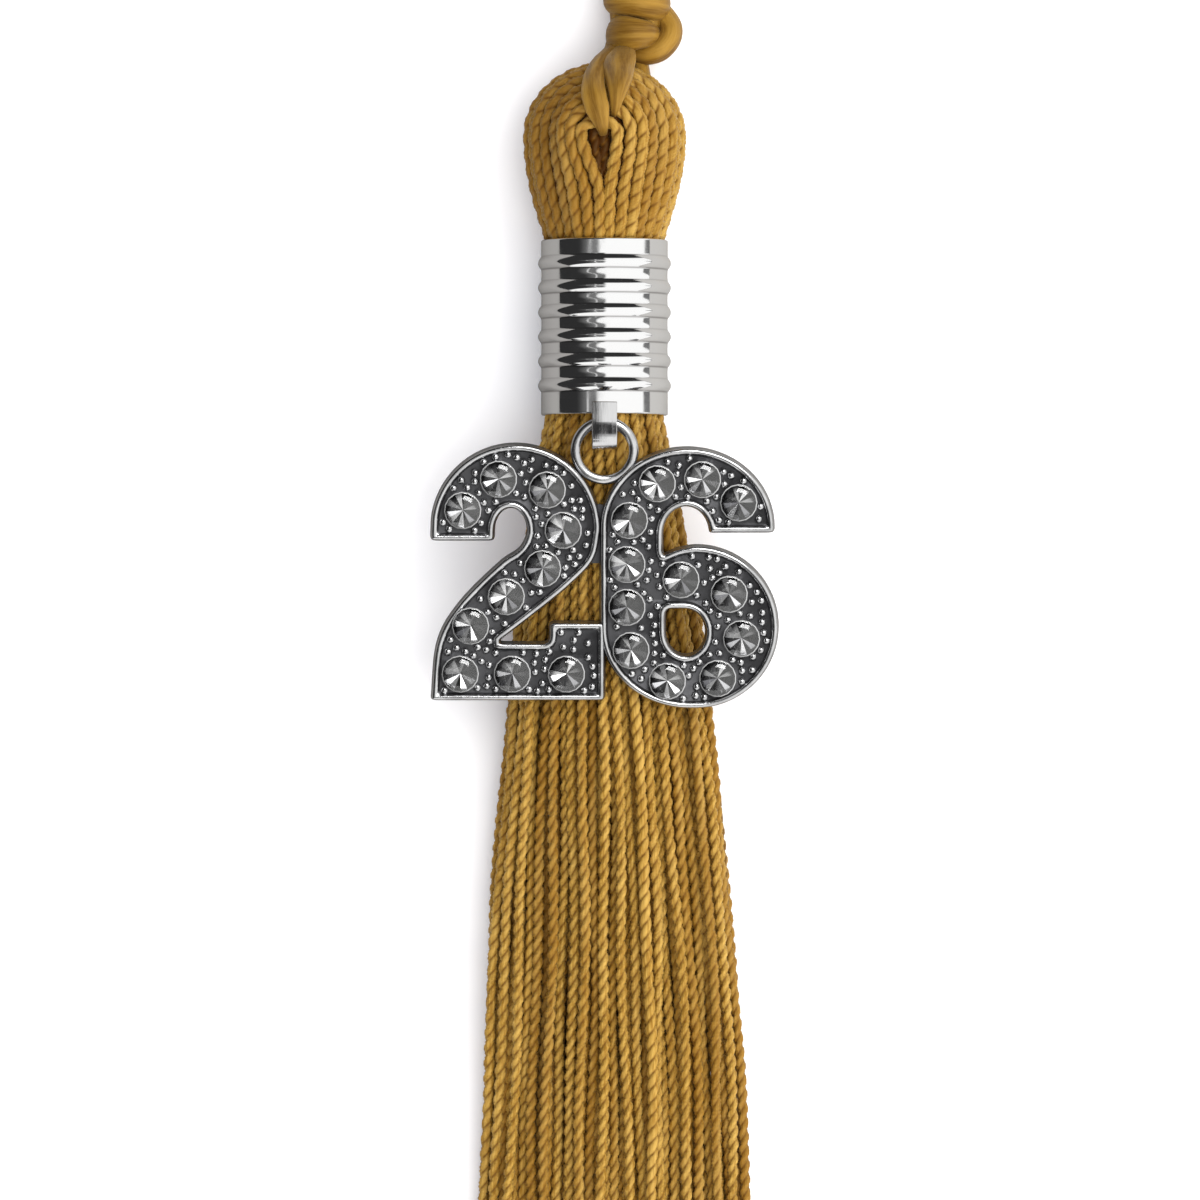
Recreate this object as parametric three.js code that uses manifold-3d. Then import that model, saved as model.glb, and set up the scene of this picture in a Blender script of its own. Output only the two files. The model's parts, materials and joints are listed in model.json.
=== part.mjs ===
// Graduation tassel, lying on its back on a table.
// Millimetres. +Y runs from the skirt's cut end up to the hanging loop, +X is to the right, +Z points up
// from the table. Pieces are placed from the lower edge of the metal collar (y = 0), and the last lines
// move the whole so that the middle of its base, without the loop of cord, is the origin.

import * as THREE from 'three';
import { mergeVertices } from 'three/addons/utils/BufferGeometryUtils.js';
import Module from 'manifold-3d';

const wasm = await Module();
wasm.setup();

// Driving dimensions

const GAP = 0.3; // air between neighbouring pieces
const AXIS_Z = 7.0; // height of the tassel's axis over the table

// Collar: a chromed brass ferrule with six rolled beads and a hook in one piece with it
const COLLAR_LENGTH = 16.65;
const COLLAR_RADIUS = 6.035;
const COLLAR_WALL = 0.42;
const COLLAR_SIDES = 32;
const BEAD = { count: 6, pitch: 2.33, height: 1.2, crown: 0.5, rise: 0.28, topCentre: 14.46 };
const HOOK = { width: 2.35, bendRadius: 0.9, bendSteps: 8, lowest: -3.3, root: 0.8 };
const HOOK_TIP = { y: 1.05, lean: 0.62, leanFrom: -0.1 };

// Yarn: one bundle, folded into the head, gathered in the collar and hanging out as the skirt
const BUNDLE_PLAY = 0.315; // between the bundle and the collar's wall
const BUNDLE_RADIUS = COLLAR_RADIUS - COLLAR_WALL - BUNDLE_PLAY;
const HEAD = { neck: 6.05, halfWidth: 7.7, halfDepth: 7.6, top: 33.4, fold: 26.5, from: 17.4 };
const HEAD_RIBS = 16; // cords on each side of the fold, from front to back
const RIB_DEPTH = 0.34;
const HEAD_LEVELS = 5;
const CROWN_STEPS = 6;
const CORE = { bottom: 2.5, top: COLLAR_LENGTH + GAP };
const SLIT = { bottom: 20.4, top: 27.4, halfWidth: 1.15, depth: 4.2, curveSteps: 5 };

// Skirt strands, laid out in columns (across) and rows (up) at the collar's mouth
const STRAND = { columnStep: 0.57, rowStep: 0.98, width: 0.8, height: 0.65, ridge: 0.55, parting: 0.35 };
const STRAND_COLUMNS = 8; // on each side of the middle one
const STRAND_ROWS = 5; // above and below the middle one
const STRAND_REACH = 4.95; // furthest centre of a strand from the axis in the collar's mouth
const SKIRT = { length: 195, spread: 1.12, spreadOver: 38, pileStep: 1.02 };
const CUT_END = { unevenness: 2.4, turn: 13 };
const SKIRT_SAG = { over: 32, settleFrom: 25, settleTo: 95 };
const SKIRT_DRIFT = { across: 0.9, over: 38, wave: 0.3, waveLength: 118, ripple: 0.14, rippleLength: 83 };
const STRAND_STATIONS = [-4, 0, 8, 18, 30, 45, 65, 90, 125, 160]; // mm below the collar, up to the cut end

// Charm: a cast plate in the shape of the number 26, with a ring at its top
const CHARM = { back: -0.9, field: 0.55, front: 0.9, rim: 0.7, tiltDegrees: 4.5, bottom: -27.2 };
const OUTLINE = { arcSteps: 10, shortestEdge: 0.05, slack: 0.995 };
const RING = { meanRadius: 2.79, wireRadius: 0.42, wireSides: 8, segments: 28 };
const SWING_AXIS = { y: -0.79, z: AXIS_Z + COLLAR_RADIUS + HOOK.bendRadius };

// Digits, drawn from the charm's lower edge (y = 0) and the line between them (x = 0)
const TWO = {
  left: -16.5,
  right: 0.1,
  top: 25.2,
  bottom: 0.75,
  tail: { x: -8.6, y: 15.9, acrossRadius: 1.75, upRadius: 3.15, endAngle: Math.PI / 7 },
  bowl: { x: -8.4, y: 17.0, acrossRadius: 8.1 },
  foot: { top: 8.35, notchX: -5.25, inside: 6.4, stemX: -10.0 },
  inner: [
    { x: -7.55, y: 16.1 },
    { x: -9.99, y: 13.95 },
    { x: -13.8, y: 10.13 },
    { x: -15.9, y: 6.4 },
  ],
  outer: [
    { x: -6.85, y: 8.79 },
    { x: -3.27, y: 11.7 },
    { x: -0.95, y: 14.2 },
  ],
};
const SIX = {
  left: -0.5,
  right: 16.5,
  top: 24.85,
  tail: { x: 7.7, y: 16.65, acrossRadius: 2.15, upRadius: 2.5 },
  upper: { x: 7.8, y: 17.2, acrossRadius: 8.3 },
  lower: { x: 8.0, y: 7.8 },
  shoulder: { x: 9.0, y: 14.75, dipX: 7.0 },
  counter: { x: 7.66, y: 7.33, acrossRadius: 1.85, upRadius: 2.13 },
};

// Stones: round cut crystals on the charm's field, in the order in which a digit is written
const STONE = { radius: 1.7, tableRadius: 1.0, girdle: 0.3, height: 0.9, sides: 10 };
const STONE_PLACES = {
  two: [
    { x: -13.36, y: 18.88 },
    { x: -9.99, y: 21.83 },
    { x: -5.4, y: 20.82 },
    { x: -3.9, y: 17.01 },
    { x: -5.84, y: 13.39 },
    { x: -9.27, y: 10.74 },
    { x: -12.64, y: 7.96 },
    { x: -13.62, y: 3.41 },
    { x: -8.71, y: 3.41 },
    { x: -3.6, y: 3.41 },
  ],
  six: [
    { x: 12.64, y: 19.6 },
    { x: 9.22, y: 21.79 },
    { x: 4.96, y: 21.41 },
    { x: 2.34, y: 17.94 },
    { x: 2.11, y: 13.78 },
    { x: 2.11, y: 9.73 },
    { x: 2.5, y: 5.65 },
    { x: 5.93, y: 2.74 },
    { x: 10.68, y: 3.0 },
    { x: 12.92, y: 6.77 },
    { x: 11.75, y: 10.96 },
    { x: 7.2, y: 12.33 },
  ],
};

// Satin cord: two legs round the folded yarn, a knot above them, and the long hanging loop
const CORD = { radius: 1.35, sides: 8 };
const LEG_RADIUS = 1.22;
const KNOT = { x: 3.05, z: 3.4, coreRadius: 2.0, coreFrom: 34.2, coreTo: 41.2, coreSides: 12 };
const STUBS = { to: 42.4, spacing: 2.8 };
const TUBE_STEPS = { wrap: 16, crossing: 12, leftLeg: 30, rightLeg: 16, loop: 64 };
const KNOT_WRAPS = [
  { y: 39.6, meanRadius: 1.9, tubeRadius: 1.42, tiltDegrees: -3 },
  { y: 36.5, meanRadius: 1.6, tubeRadius: 1.5, tiltDegrees: 12 },
];
const KNOT_CROSSING = [
  { x: 4.2, y: 40.0, z: 4.6 },
  { x: 5.7, y: 38.9, z: 4.3 },
  { x: 6.25, y: 37.2, z: 3.8 },
  { x: 5.4, y: 35.5, z: 3.5 },
  { x: 3.7, y: 34.6, z: 3.4 },
  { x: 2.0, y: 34.7, z: 3.6 },
];
const LEFT_LEG = [
  { x: 1.3, y: 35.0, z: 3.6 },
  { x: 0.6, y: 34.5, z: 6.2 },
  { x: 0.1, y: 34.0, z: 8.7 },
  { x: -0.5, y: 33.2, z: 11.0 },
  { x: -1.2, y: 32.0, z: 12.9 },
  { x: -1.6, y: 30.5, z: 14.3 },
  { x: -1.4, y: 29.0, z: 14.8 },
  { x: -0.8, y: 27.7, z: 14.2 },
  { x: -0.3, y: 26.9, z: 12.8 },
  { x: -0.1, y: 26.5, z: 10.5 },
  { x: 0.0, y: 26.3, z: 7.5 },
  { x: 0.0, y: 26.8, z: 4.6 },
  { x: 0.2, y: 28.2, z: 2.6 },
  { x: 0.5, y: 30.0, z: 1.8 },
  { x: 0.9, y: 32.0, z: 1.7 },
  { x: 1.6, y: 34.0, z: 2.3 },
  { x: 2.3, y: 35.4, z: 3.2 },
];
const RIGHT_LEG = [
  { x: 2.6, y: 35.2, z: 3.6 },
  { x: 2.4, y: 34.6, z: 6.0 },
  { x: 2.1, y: 34.0, z: 8.5 },
  { x: 1.8, y: 33.2, z: 10.8 },
  { x: 1.5, y: 32.1, z: 12.6 },
  { x: 1.1, y: 30.8, z: 13.6 },
  { x: 0.7, y: 29.6, z: 13.2 },
  { x: 0.4, y: 28.7, z: 11.6 },
  { x: 0.2, y: 28.1, z: 9.4 },
  { x: 0.1, y: 27.4, z: 7.2 },
];
const LOOP_ROUTE = [
  { x: 1.65, y: 42.7, z: 3.3 },
  { x: 1.6, y: 45.6, z: 3.0 },
  { x: 1.4, y: 49.0, z: 2.3 },
  { x: 0.9, y: 53.0, z: 1.7 },
  { x: 0.1, y: 58.0, z: 1.42 },
  { x: -1.0, y: 64.0, z: 1.4 },
  { x: -2.2, y: 71.0, z: 1.4 },
  { x: -3.4, y: 79.0, z: 1.4 },
  { x: -4.4, y: 88.0, z: 1.4 },
  { x: -5.0, y: 97.0, z: 1.4 },
  { x: -5.2, y: 106.0, z: 1.4 },
  { x: -4.6, y: 114.0, z: 1.4 },
  { x: -2.6, y: 120.5, z: 1.4 },
  { x: 1.0, y: 125.0, z: 1.4 },
  { x: 5.4, y: 125.6, z: 1.4 },
  { x: 9.2, y: 122.2, z: 1.4 },
  { x: 11.6, y: 116.0, z: 1.4 },
  { x: 12.6, y: 108.0, z: 1.4 },
  { x: 12.5, y: 99.0, z: 1.4 },
  { x: 11.7, y: 90.0, z: 1.4 },
  { x: 10.4, y: 81.0, z: 1.4 },
  { x: 8.9, y: 72.0, z: 1.4 },
  { x: 7.4, y: 64.0, z: 1.4 },
  { x: 6.1, y: 57.5, z: 1.42 },
  { x: 5.2, y: 52.5, z: 1.7 },
  { x: 4.7, y: 48.8, z: 2.3 },
  { x: 4.5, y: 45.6, z: 3.0 },
  { x: 4.45, y: 42.7, z: 3.3 },
];

// Finishes

const yarnFinish = new THREE.MeshStandardMaterial({ color: 0xb4863a, roughness: 0.7, metalness: 0 });
const satinFinish = new THREE.MeshStandardMaterial({ color: 0xa67b35, roughness: 0.4, metalness: 0 });
const chromeFinish = new THREE.MeshStandardMaterial({ color: 0xd4d4d6, roughness: 0.08, metalness: 1 });
const castFinish = new THREE.MeshStandardMaterial({ color: 0x6b6b6e, roughness: 0.3, metalness: 1 });
const crystalFinish = new THREE.MeshStandardMaterial({ color: 0xe8ecef, roughness: 0.05, metalness: 0.2 });

// Turning geometries into solids that can be joined and cut, and back

function toSolid(geometry) {
  const bare = geometry.clone();
  bare.deleteAttribute('normal');
  bare.deleteAttribute('uv');
  const merged = mergeVertices(bare, 1e-4);
  const index = merged.index.array;
  const triangles = [];
  for (let i = 0; i < index.length; i += 3) {
    const [a, b, c] = [index[i], index[i + 1], index[i + 2]];
    if (a !== b && b !== c && c !== a) triangles.push(a, b, c);
  }
  return new wasm.Manifold(new wasm.Mesh({
    numProp: 3,
    vertProperties: new Float32Array(merged.attributes.position.array),
    triVerts: new Uint32Array(triangles),
  }));
}

function toGeometry(solid) {
  const mesh = solid.getMesh();
  const geometry = new THREE.BufferGeometry();
  geometry.setAttribute('position', new THREE.BufferAttribute(new Float32Array(mesh.vertProperties), 3));
  geometry.setIndex(new THREE.BufferAttribute(new Uint32Array(mesh.triVerts), 1));
  return geometry;
}

// A closed body lofted through rings of equally many points, with a fan over each end
function loft(rings) {
  const sides = rings[0].length;
  const points = rings.flat();
  const triangles = [];
  for (let r = 0; r + 1 < rings.length; r++) {
    for (let i = 0; i < sides; i++) {
      const next = (i + 1) % sides;
      const [a, b] = [r * sides + i, r * sides + next];
      triangles.push(a, b, b + sides, a, b + sides, a + sides);
    }
  }
  const last = (rings.length - 1) * sides;
  for (let i = 1; i + 1 < sides; i++) {
    triangles.push(0, i + 1, i);
    triangles.push(last, last + i, last + i + 1);
  }
  const geometry = new THREE.BufferGeometry().setFromPoints(points);
  geometry.setIndex(triangles);
  return geometry;
}

function roundSection(radius, sides) {
  const section = new THREE.Shape();
  for (let i = 0; i < sides; i++) {
    const angle = (2 * Math.PI * (i + 0.5)) / sides;
    const [x, y] = [radius * Math.cos(angle), radius * Math.sin(angle)];
    if (i === 0) section.moveTo(x, y);
    else section.lineTo(x, y);
  }
  section.closePath();
  return section;
}

// A tube along a smooth curve through the listed places
function tubeThrough(places, radius, sides, steps) {
  const route = new THREE.CatmullRomCurve3(places.map((p) => new THREE.Vector3(p.x, p.y, p.z)));
  return new THREE.ExtrudeGeometry(roundSection(radius, sides), { extrudePath: route, steps });
}

const smoothstep = (value) => {
  const t = THREE.MathUtils.clamp(value, 0, 1);
  return t * t * (3 - 2 * t);
};

// Collar

function beadProfile() {
  const profile = [];
  for (let i = BEAD.count - 1; i >= 0; i--) {
    const middle = BEAD.topCentre - i * BEAD.pitch;
    const crest = COLLAR_RADIUS + BEAD.rise;
    profile.push(new THREE.Vector2(COLLAR_RADIUS, middle - BEAD.height / 2));
    profile.push(new THREE.Vector2(crest, middle - BEAD.crown / 2));
    profile.push(new THREE.Vector2(crest, middle + BEAD.crown / 2));
    profile.push(new THREE.Vector2(COLLAR_RADIUS, middle + BEAD.height / 2));
  }
  return profile;
}

function collarTube() {
  const inner = COLLAR_RADIUS - COLLAR_WALL;
  const profile = [
    new THREE.Vector2(inner, 0),
    new THREE.Vector2(COLLAR_RADIUS, 0),
    ...beadProfile(),
    new THREE.Vector2(COLLAR_RADIUS, COLLAR_LENGTH),
    new THREE.Vector2(inner, COLLAR_LENGTH),
    new THREE.Vector2(inner, 0),
  ];
  const tube = new THREE.LatheGeometry(profile, COLLAR_SIDES);
  tube.translate(0, 0, AXIS_Z);
  return tube;
}

// The hook is a strip of the collar's own sheet that runs down, turns forwards through the ring and comes
// up in front, with its tip leaning back towards the collar. Its shape is drawn across (z) and up (y).
function collarHook() {
  const outerRadius = HOOK.bendRadius + COLLAR_WALL;
  const bendY = HOOK.lowest + outerRadius;
  const middle = SWING_AXIS.z;
  const strip = new THREE.Shape();
  strip.moveTo(middle - outerRadius, HOOK.root);
  strip.lineTo(middle - outerRadius, bendY);
  strip.absarc(middle, bendY, outerRadius, Math.PI, 2 * Math.PI, false);
  strip.lineTo(middle + outerRadius, HOOK_TIP.leanFrom);
  strip.lineTo(middle + outerRadius - HOOK_TIP.lean, HOOK_TIP.y);
  strip.lineTo(middle + HOOK.bendRadius - HOOK_TIP.lean, HOOK_TIP.y);
  strip.lineTo(middle + HOOK.bendRadius, HOOK_TIP.leanFrom);
  strip.lineTo(middle + HOOK.bendRadius, bendY);
  strip.absarc(middle, bendY, HOOK.bendRadius, 2 * Math.PI, Math.PI, true);
  strip.lineTo(middle - HOOK.bendRadius, HOOK.root);
  strip.closePath();
  const hook = new THREE.ExtrudeGeometry(strip, {
    depth: HOOK.width,
    bevelEnabled: false,
    curveSegments: HOOK.bendSteps,
  });
  const acrossUpLeft = new THREE.Matrix4().makeBasis(
    new THREE.Vector3(0, 0, 1),
    new THREE.Vector3(0, 1, 0),
    new THREE.Vector3(-1, 0, 0),
  );
  hook.applyMatrix4(acrossUpLeft);
  hook.translate(HOOK.width / 2, 0, 0);
  return hook;
}

function collarGeometry() {
  return toGeometry(toSolid(collarTube()).add(toSolid(collarHook())));
}

// Yarn head: cords folded left to right over the satin cord, so that each pair of cords is an arch. An
// arch's place from front (0) to back (pi) is its angle around the collar, and the arches shrink towards
// the two places where the satin cord goes in and comes out.

function swell(y) {
  const rise = THREE.MathUtils.clamp((y - HEAD.from) / (HEAD.fold - HEAD.from), 0, 1);
  return Math.sin((rise * Math.PI) / 2);
}

// The stations of half an arch, from the core's bottom up to the crown
function archStations() {
  const stations = [
    { y: CORE.bottom, radius: BUNDLE_RADIUS },
    { y: CORE.top, radius: BUNDLE_RADIUS },
  ];
  for (let i = 0; i < HEAD_LEVELS; i++) {
    stations.push({ y: HEAD.from + ((HEAD.fold - HEAD.from) * i) / (HEAD_LEVELS - 1), radius: null });
  }
  for (let i = 1; i <= CROWN_STEPS; i++) {
    stations.push({ crown: (Math.PI / 2) * (i / CROWN_STEPS) });
  }
  return stations;
}

function archPoint(station, angle, side, ridge) {
  const across = Math.sin(angle);
  const front = Math.cos(angle);
  const relief = ridge ? 0 : RIB_DEPTH;
  let point;
  if (station.crown !== undefined) {
    const scale = 1 - relief / HEAD.halfWidth;
    point = new THREE.Vector3(
      side * HEAD.halfWidth * across * Math.cos(station.crown) * scale,
      HEAD.fold + (HEAD.top - HEAD.fold) * across * Math.sin(station.crown) * scale,
      HEAD.halfDepth * front * scale,
    );
  } else if (station.radius !== null) {
    point = new THREE.Vector3(side * station.radius * across, station.y, station.radius * front);
  } else {
    const halfWidth = HEAD.neck + (HEAD.halfWidth - HEAD.neck) * swell(station.y) - relief;
    const halfDepth = HEAD.neck + (HEAD.halfDepth - HEAD.neck) * swell(station.y) - relief;
    point = new THREE.Vector3(side * halfWidth * across, station.y, halfDepth * front);
  }
  point.z = Math.max(point.z + AXIS_Z, 0); // flat where the head lies on the table
  return point;
}

function headBody() {
  const up = archStations();
  const archRow = (i) => {
    const angle = (Math.PI * i) / (2 * HEAD_RIBS);
    const ridge = i % 2 === 1;
    const left = up.map((station) => archPoint(station, angle, -1, ridge));
    const right = up.slice(0, -1).reverse().map((station) => archPoint(station, angle, 1, ridge));
    return [...left, ...right];
  };
  const rows = Array.from({ length: 2 * HEAD_RIBS + 1 }, (_, i) => archRow(i));
  const perRow = rows[0].length;
  const points = rows.flat();
  const triangles = [];
  for (let r = 0; r + 1 < rows.length; r++) {
    for (let i = 0; i + 1 < perRow; i++) {
      const a = r * perRow + i;
      const b = a + perRow;
      triangles.push(a, b + 1, b, a, a + 1, b + 1);
    }
  }
  const centre = points.length;
  points.push(new THREE.Vector3(0, CORE.bottom, AXIS_Z));
  for (let r = 0; r + 1 < rows.length; r++) {
    const [leftFoot, rightFoot] = [r * perRow, r * perRow + perRow - 1];
    triangles.push(centre, leftFoot, leftFoot + perRow);
    triangles.push(centre, rightFoot + perRow, rightFoot);
  }
  const geometry = new THREE.BufferGeometry().setFromPoints(points);
  geometry.setIndex(triangles);
  return geometry;
}

// The opening below the satin cord, where the two halves of the bundle part
function slitCutter() {
  const shape = new THREE.Shape();
  shape.moveTo(0, SLIT.bottom);
  shape.quadraticCurveTo(SLIT.halfWidth, (SLIT.bottom + SLIT.top) / 2, SLIT.halfWidth, SLIT.top);
  shape.lineTo(-SLIT.halfWidth, SLIT.top);
  shape.quadraticCurveTo(-SLIT.halfWidth, (SLIT.bottom + SLIT.top) / 2, 0, SLIT.bottom);
  const cutter = new THREE.ExtrudeGeometry(shape, {
    depth: 2 * SLIT.depth,
    bevelEnabled: false,
    curveSegments: SLIT.curveSteps,
  });
  cutter.translate(0, 0, AXIS_Z + HEAD.halfDepth - SLIT.depth);
  return cutter;
}

// Skirt

// The distance between neighbouring columns at s mm below the collar
function columnStepAt(s) {
  return STRAND.columnStep + SKIRT.spread * (1 - Math.exp(-Math.max(s, 0) / SKIRT.spreadOver));
}

function strandSlots() {
  const slots = [];
  for (let column = -STRAND_COLUMNS; column <= STRAND_COLUMNS; column++) {
    let rank = 0;
    for (let row = -STRAND_ROWS; row <= STRAND_ROWS; row++) {
      const offset = Math.hypot(column * STRAND.columnStep, row * STRAND.rowStep);
      const staggered = (row + column) % 2 === 0;
      if (!staggered || offset > STRAND_REACH) continue;
      slots.push({ column, row, rank });
      rank += 1;
    }
  }
  return slots;
}

// Where a strand's underside runs at s mm below the collar: full height in the collar's mouth, then
// sagging to the table, and piled from the table up once the strands have spread sideways
function strandPlace(slot, s) {
  const lowest = AXIS_Z - STRAND_ROWS * STRAND.rowStep - STRAND.height / 2;
  const sag = lowest * smoothstep(s / SKIRT_SAG.over);
  const hung = AXIS_Z + slot.row * STRAND.rowStep - STRAND.height / 2 - sag;
  const settled = slot.rank * SKIRT.pileStep;
  const blend = smoothstep((s - SKIRT_SAG.settleFrom) / (SKIRT_SAG.settleTo - SKIRT_SAG.settleFrom));
  const reach = Math.max(s, 0);
  const drift = SKIRT_DRIFT.across * (1 - Math.exp(-((reach / SKIRT_DRIFT.over) ** 2)));
  const grow = smoothstep(reach / SKIRT_DRIFT.over);
  const wave = SKIRT_DRIFT.wave * grow * Math.sin((2 * Math.PI * reach) / SKIRT_DRIFT.waveLength);
  const share = slot.column / STRAND_COLUMNS;
  const rippleTurns = (2 * Math.PI * reach) / SKIRT_DRIFT.rippleLength + 2 * share;
  const ripple = SKIRT_DRIFT.ripple * grow * Math.sin(rippleTurns);
  return {
    x: slot.column * columnStepAt(s) + drift + wave + ripple,
    z: Math.max(hung * (1 - blend) + settled * blend, 0),
  };
}

function strandGeometry(slot, index) {
  const cutBack = CUT_END.unevenness * (0.5 + 0.5 * Math.sin(index * CUT_END.turn));
  const stations = [...STRAND_STATIONS, SKIRT.length - cutBack];
  const rings = stations.map((s) => {
    const { x, z } = strandPlace(slot, s);
    const half = Math.max(STRAND.width, columnStepAt(s) - STRAND.parting) / 2;
    const top = z + STRAND.height;
    return [
      new THREE.Vector3(x - half, -s, z),
      new THREE.Vector3(x + half, -s, z),
      new THREE.Vector3(x + half * STRAND.ridge, -s, top),
      new THREE.Vector3(x - half * STRAND.ridge, -s, top),
    ];
  });
  return loft(rings);
}

function yarnGeometry() {
  const legChannels = [
    tubeThrough(LEFT_LEG, LEG_RADIUS + GAP, CORD.sides, TUBE_STEPS.leftLeg),
    tubeThrough(RIGHT_LEG, LEG_RADIUS + GAP, CORD.sides, TUBE_STEPS.rightLeg),
  ];
  let head = toSolid(headBody()).subtract(toSolid(slitCutter()));
  for (const channel of legChannels) head = head.subtract(toSolid(channel));
  const strands = strandSlots().map((slot, index) => toSolid(strandGeometry(slot, index)));
  return toGeometry(wasm.Manifold.union([head, ...strands]));
}

// Charm

// A shape's outline without points that all but coincide
function outlineOf(shape) {
  const points = shape.getPoints(OUTLINE.arcSteps);
  const next = (i) => points[(i + 1) % points.length];
  return points.filter((point, i) => point.distanceTo(next(i)) > OUTLINE.shortestEdge);
}

function distanceToOutline(place, points) {
  const distances = points.map((point, i) => {
    const edge = new THREE.Line3(
      new THREE.Vector3(point.x, point.y, 0),
      new THREE.Vector3(points[(i + 1) % points.length].x, points[(i + 1) % points.length].y, 0),
    );
    const here = new THREE.Vector3(place.x, place.y, 0);
    return edge.closestPointToPoint(here, true, new THREE.Vector3()).distanceTo(here);
  });
  return Math.min(...distances);
}

// The outline moved by a distance: inwards where it is positive, outwards where it is negative. Points
// that come too near to another stretch of the outline, beside its sharp corners, are left out.
function movedOutline(points, distance) {
  const turn = THREE.ShapeUtils.area(points) > 0 ? 1 : -1;
  const normalOf = (a, b) => new THREE.Vector2(-(b.y - a.y), b.x - a.x).normalize().multiplyScalar(turn);
  const moved = points.map((point, i) => {
    const before = points[(i + points.length - 1) % points.length];
    const after = points[(i + 1) % points.length];
    const [first, second] = [normalOf(before, point), normalOf(point, after)];
    const mitre = first.clone().add(second).divideScalar(1 + first.dot(second));
    return point.clone().addScaledVector(mitre, distance);
  });
  const nearest = Math.abs(distance) * OUTLINE.slack;
  return moved.filter((point) => distanceToOutline(point, points) > nearest);
}

// The two: round the hook of its tail, down the inner side of the stem, round the foot and back up
function outlineOfTwo() {
  const { left, right, top, bottom, tail, bowl, foot, inner, outer } = TWO;
  const shape = new THREE.Shape();
  shape.moveTo(left, tail.y);
  shape.lineTo(tail.x - tail.acrossRadius, tail.y);
  shape.absellipse(tail.x, tail.y, tail.acrossRadius, tail.upRadius, Math.PI, tail.endAngle, true);
  shape.splineThru([...inner.map((p) => new THREE.Vector2(p.x, p.y)), new THREE.Vector2(left, bottom)]);
  shape.lineTo(right, bottom);
  shape.lineTo(right, foot.top);
  shape.lineTo(foot.notchX, foot.top);
  shape.lineTo(foot.notchX, foot.inside);
  shape.lineTo(foot.stemX, foot.inside);
  const bowlStart = new THREE.Vector2(bowl.x + bowl.acrossRadius, bowl.y);
  shape.splineThru([...outer.map((p) => new THREE.Vector2(p.x, p.y)), bowlStart]);
  shape.absellipse(bowl.x, bowl.y, bowl.acrossRadius, top - bowl.y, 0, Math.PI, false);
  shape.closePath();
  return outlineOf(shape);
}

// The six: round the top bowl, down the left side, round the lower bowl and along the inner hook
function outlineOfSix() {
  const { left, right, top, tail, upper, lower, shoulder } = SIX;
  const shape = new THREE.Shape();
  shape.moveTo(tail.x + tail.acrossRadius, tail.y);
  shape.lineTo(upper.x + upper.acrossRadius, tail.y);
  shape.lineTo(upper.x + upper.acrossRadius, upper.y);
  shape.absellipse(upper.x, upper.y, upper.acrossRadius, top - upper.y, 0, Math.PI, false);
  shape.lineTo(left, lower.y);
  shape.absellipse(lower.x, lower.y, lower.x - left, lower.y, Math.PI, 2 * Math.PI, false);
  shape.absellipse(shoulder.x, lower.y, right - shoulder.x, lower.y, 0, Math.PI / 2, false);
  shape.quadraticCurveTo(shoulder.dipX, 2 * lower.y, tail.x - tail.acrossRadius, shoulder.y);
  shape.lineTo(tail.x - tail.acrossRadius, tail.y);
  shape.absellipse(tail.x, tail.y, tail.acrossRadius, tail.upRadius, Math.PI, 0, true);
  shape.closePath();
  return outlineOf(shape);
}

// The six's counter is an oval with a square corner at its upper left
function counterOfSix() {
  const { x, y, acrossRadius, upRadius } = SIX.counter;
  const shape = new THREE.Shape();
  shape.moveTo(x - acrossRadius, y + upRadius);
  shape.lineTo(x, y + upRadius);
  shape.absellipse(x, y, acrossRadius, upRadius, Math.PI / 2, -Math.PI, true);
  shape.closePath();
  return outlineOf(shape);
}

function plateOf(outline, holes, from, to) {
  const shape = new THREE.Shape(outline);
  shape.holes = holes.map((hole) => new THREE.Path(hole));
  const plate = new THREE.ExtrudeGeometry(shape, { depth: to - from, bevelEnabled: false });
  plate.translate(0, 0, from);
  return toSolid(plate);
}

// A digit's plate with its field sunk below a raised rim
function digitSolid(outline, holes) {
  const body = plateOf(outline, holes, CHARM.back, CHARM.front);
  const field = plateOf(
    movedOutline(outline, CHARM.rim),
    holes.map((hole) => movedOutline(hole, -CHARM.rim)),
    CHARM.field,
    CHARM.front + 1,
  );
  return body.subtract(field);
}

function charmGeometry() {
  const digits = digitSolid(outlineOfTwo(), []).add(digitSolid(outlineOfSix(), [counterOfSix()]));
  const wire = new THREE.TorusGeometry(RING.meanRadius, RING.wireRadius, RING.wireSides, RING.segments);
  wire.translate(0, -RING.meanRadius - CHARM.bottom, 0);
  const charm = toGeometry(digits.add(toSolid(wire)));
  charm.translate(0, CHARM.bottom, 0);
  return charm;
}

function stoneGeometry(place) {
  const profile = [
    new THREE.Vector2(0, 0),
    new THREE.Vector2(STONE.radius, 0),
    new THREE.Vector2(STONE.radius, STONE.girdle),
    new THREE.Vector2(STONE.tableRadius, STONE.height),
    new THREE.Vector2(0, STONE.height),
  ];
  const stone = new THREE.LatheGeometry(profile, STONE.sides);
  stone.rotateX(Math.PI / 2);
  stone.translate(place.x, place.y + CHARM.bottom, CHARM.field + GAP);
  return stone;
}

// Knot and legs

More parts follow.
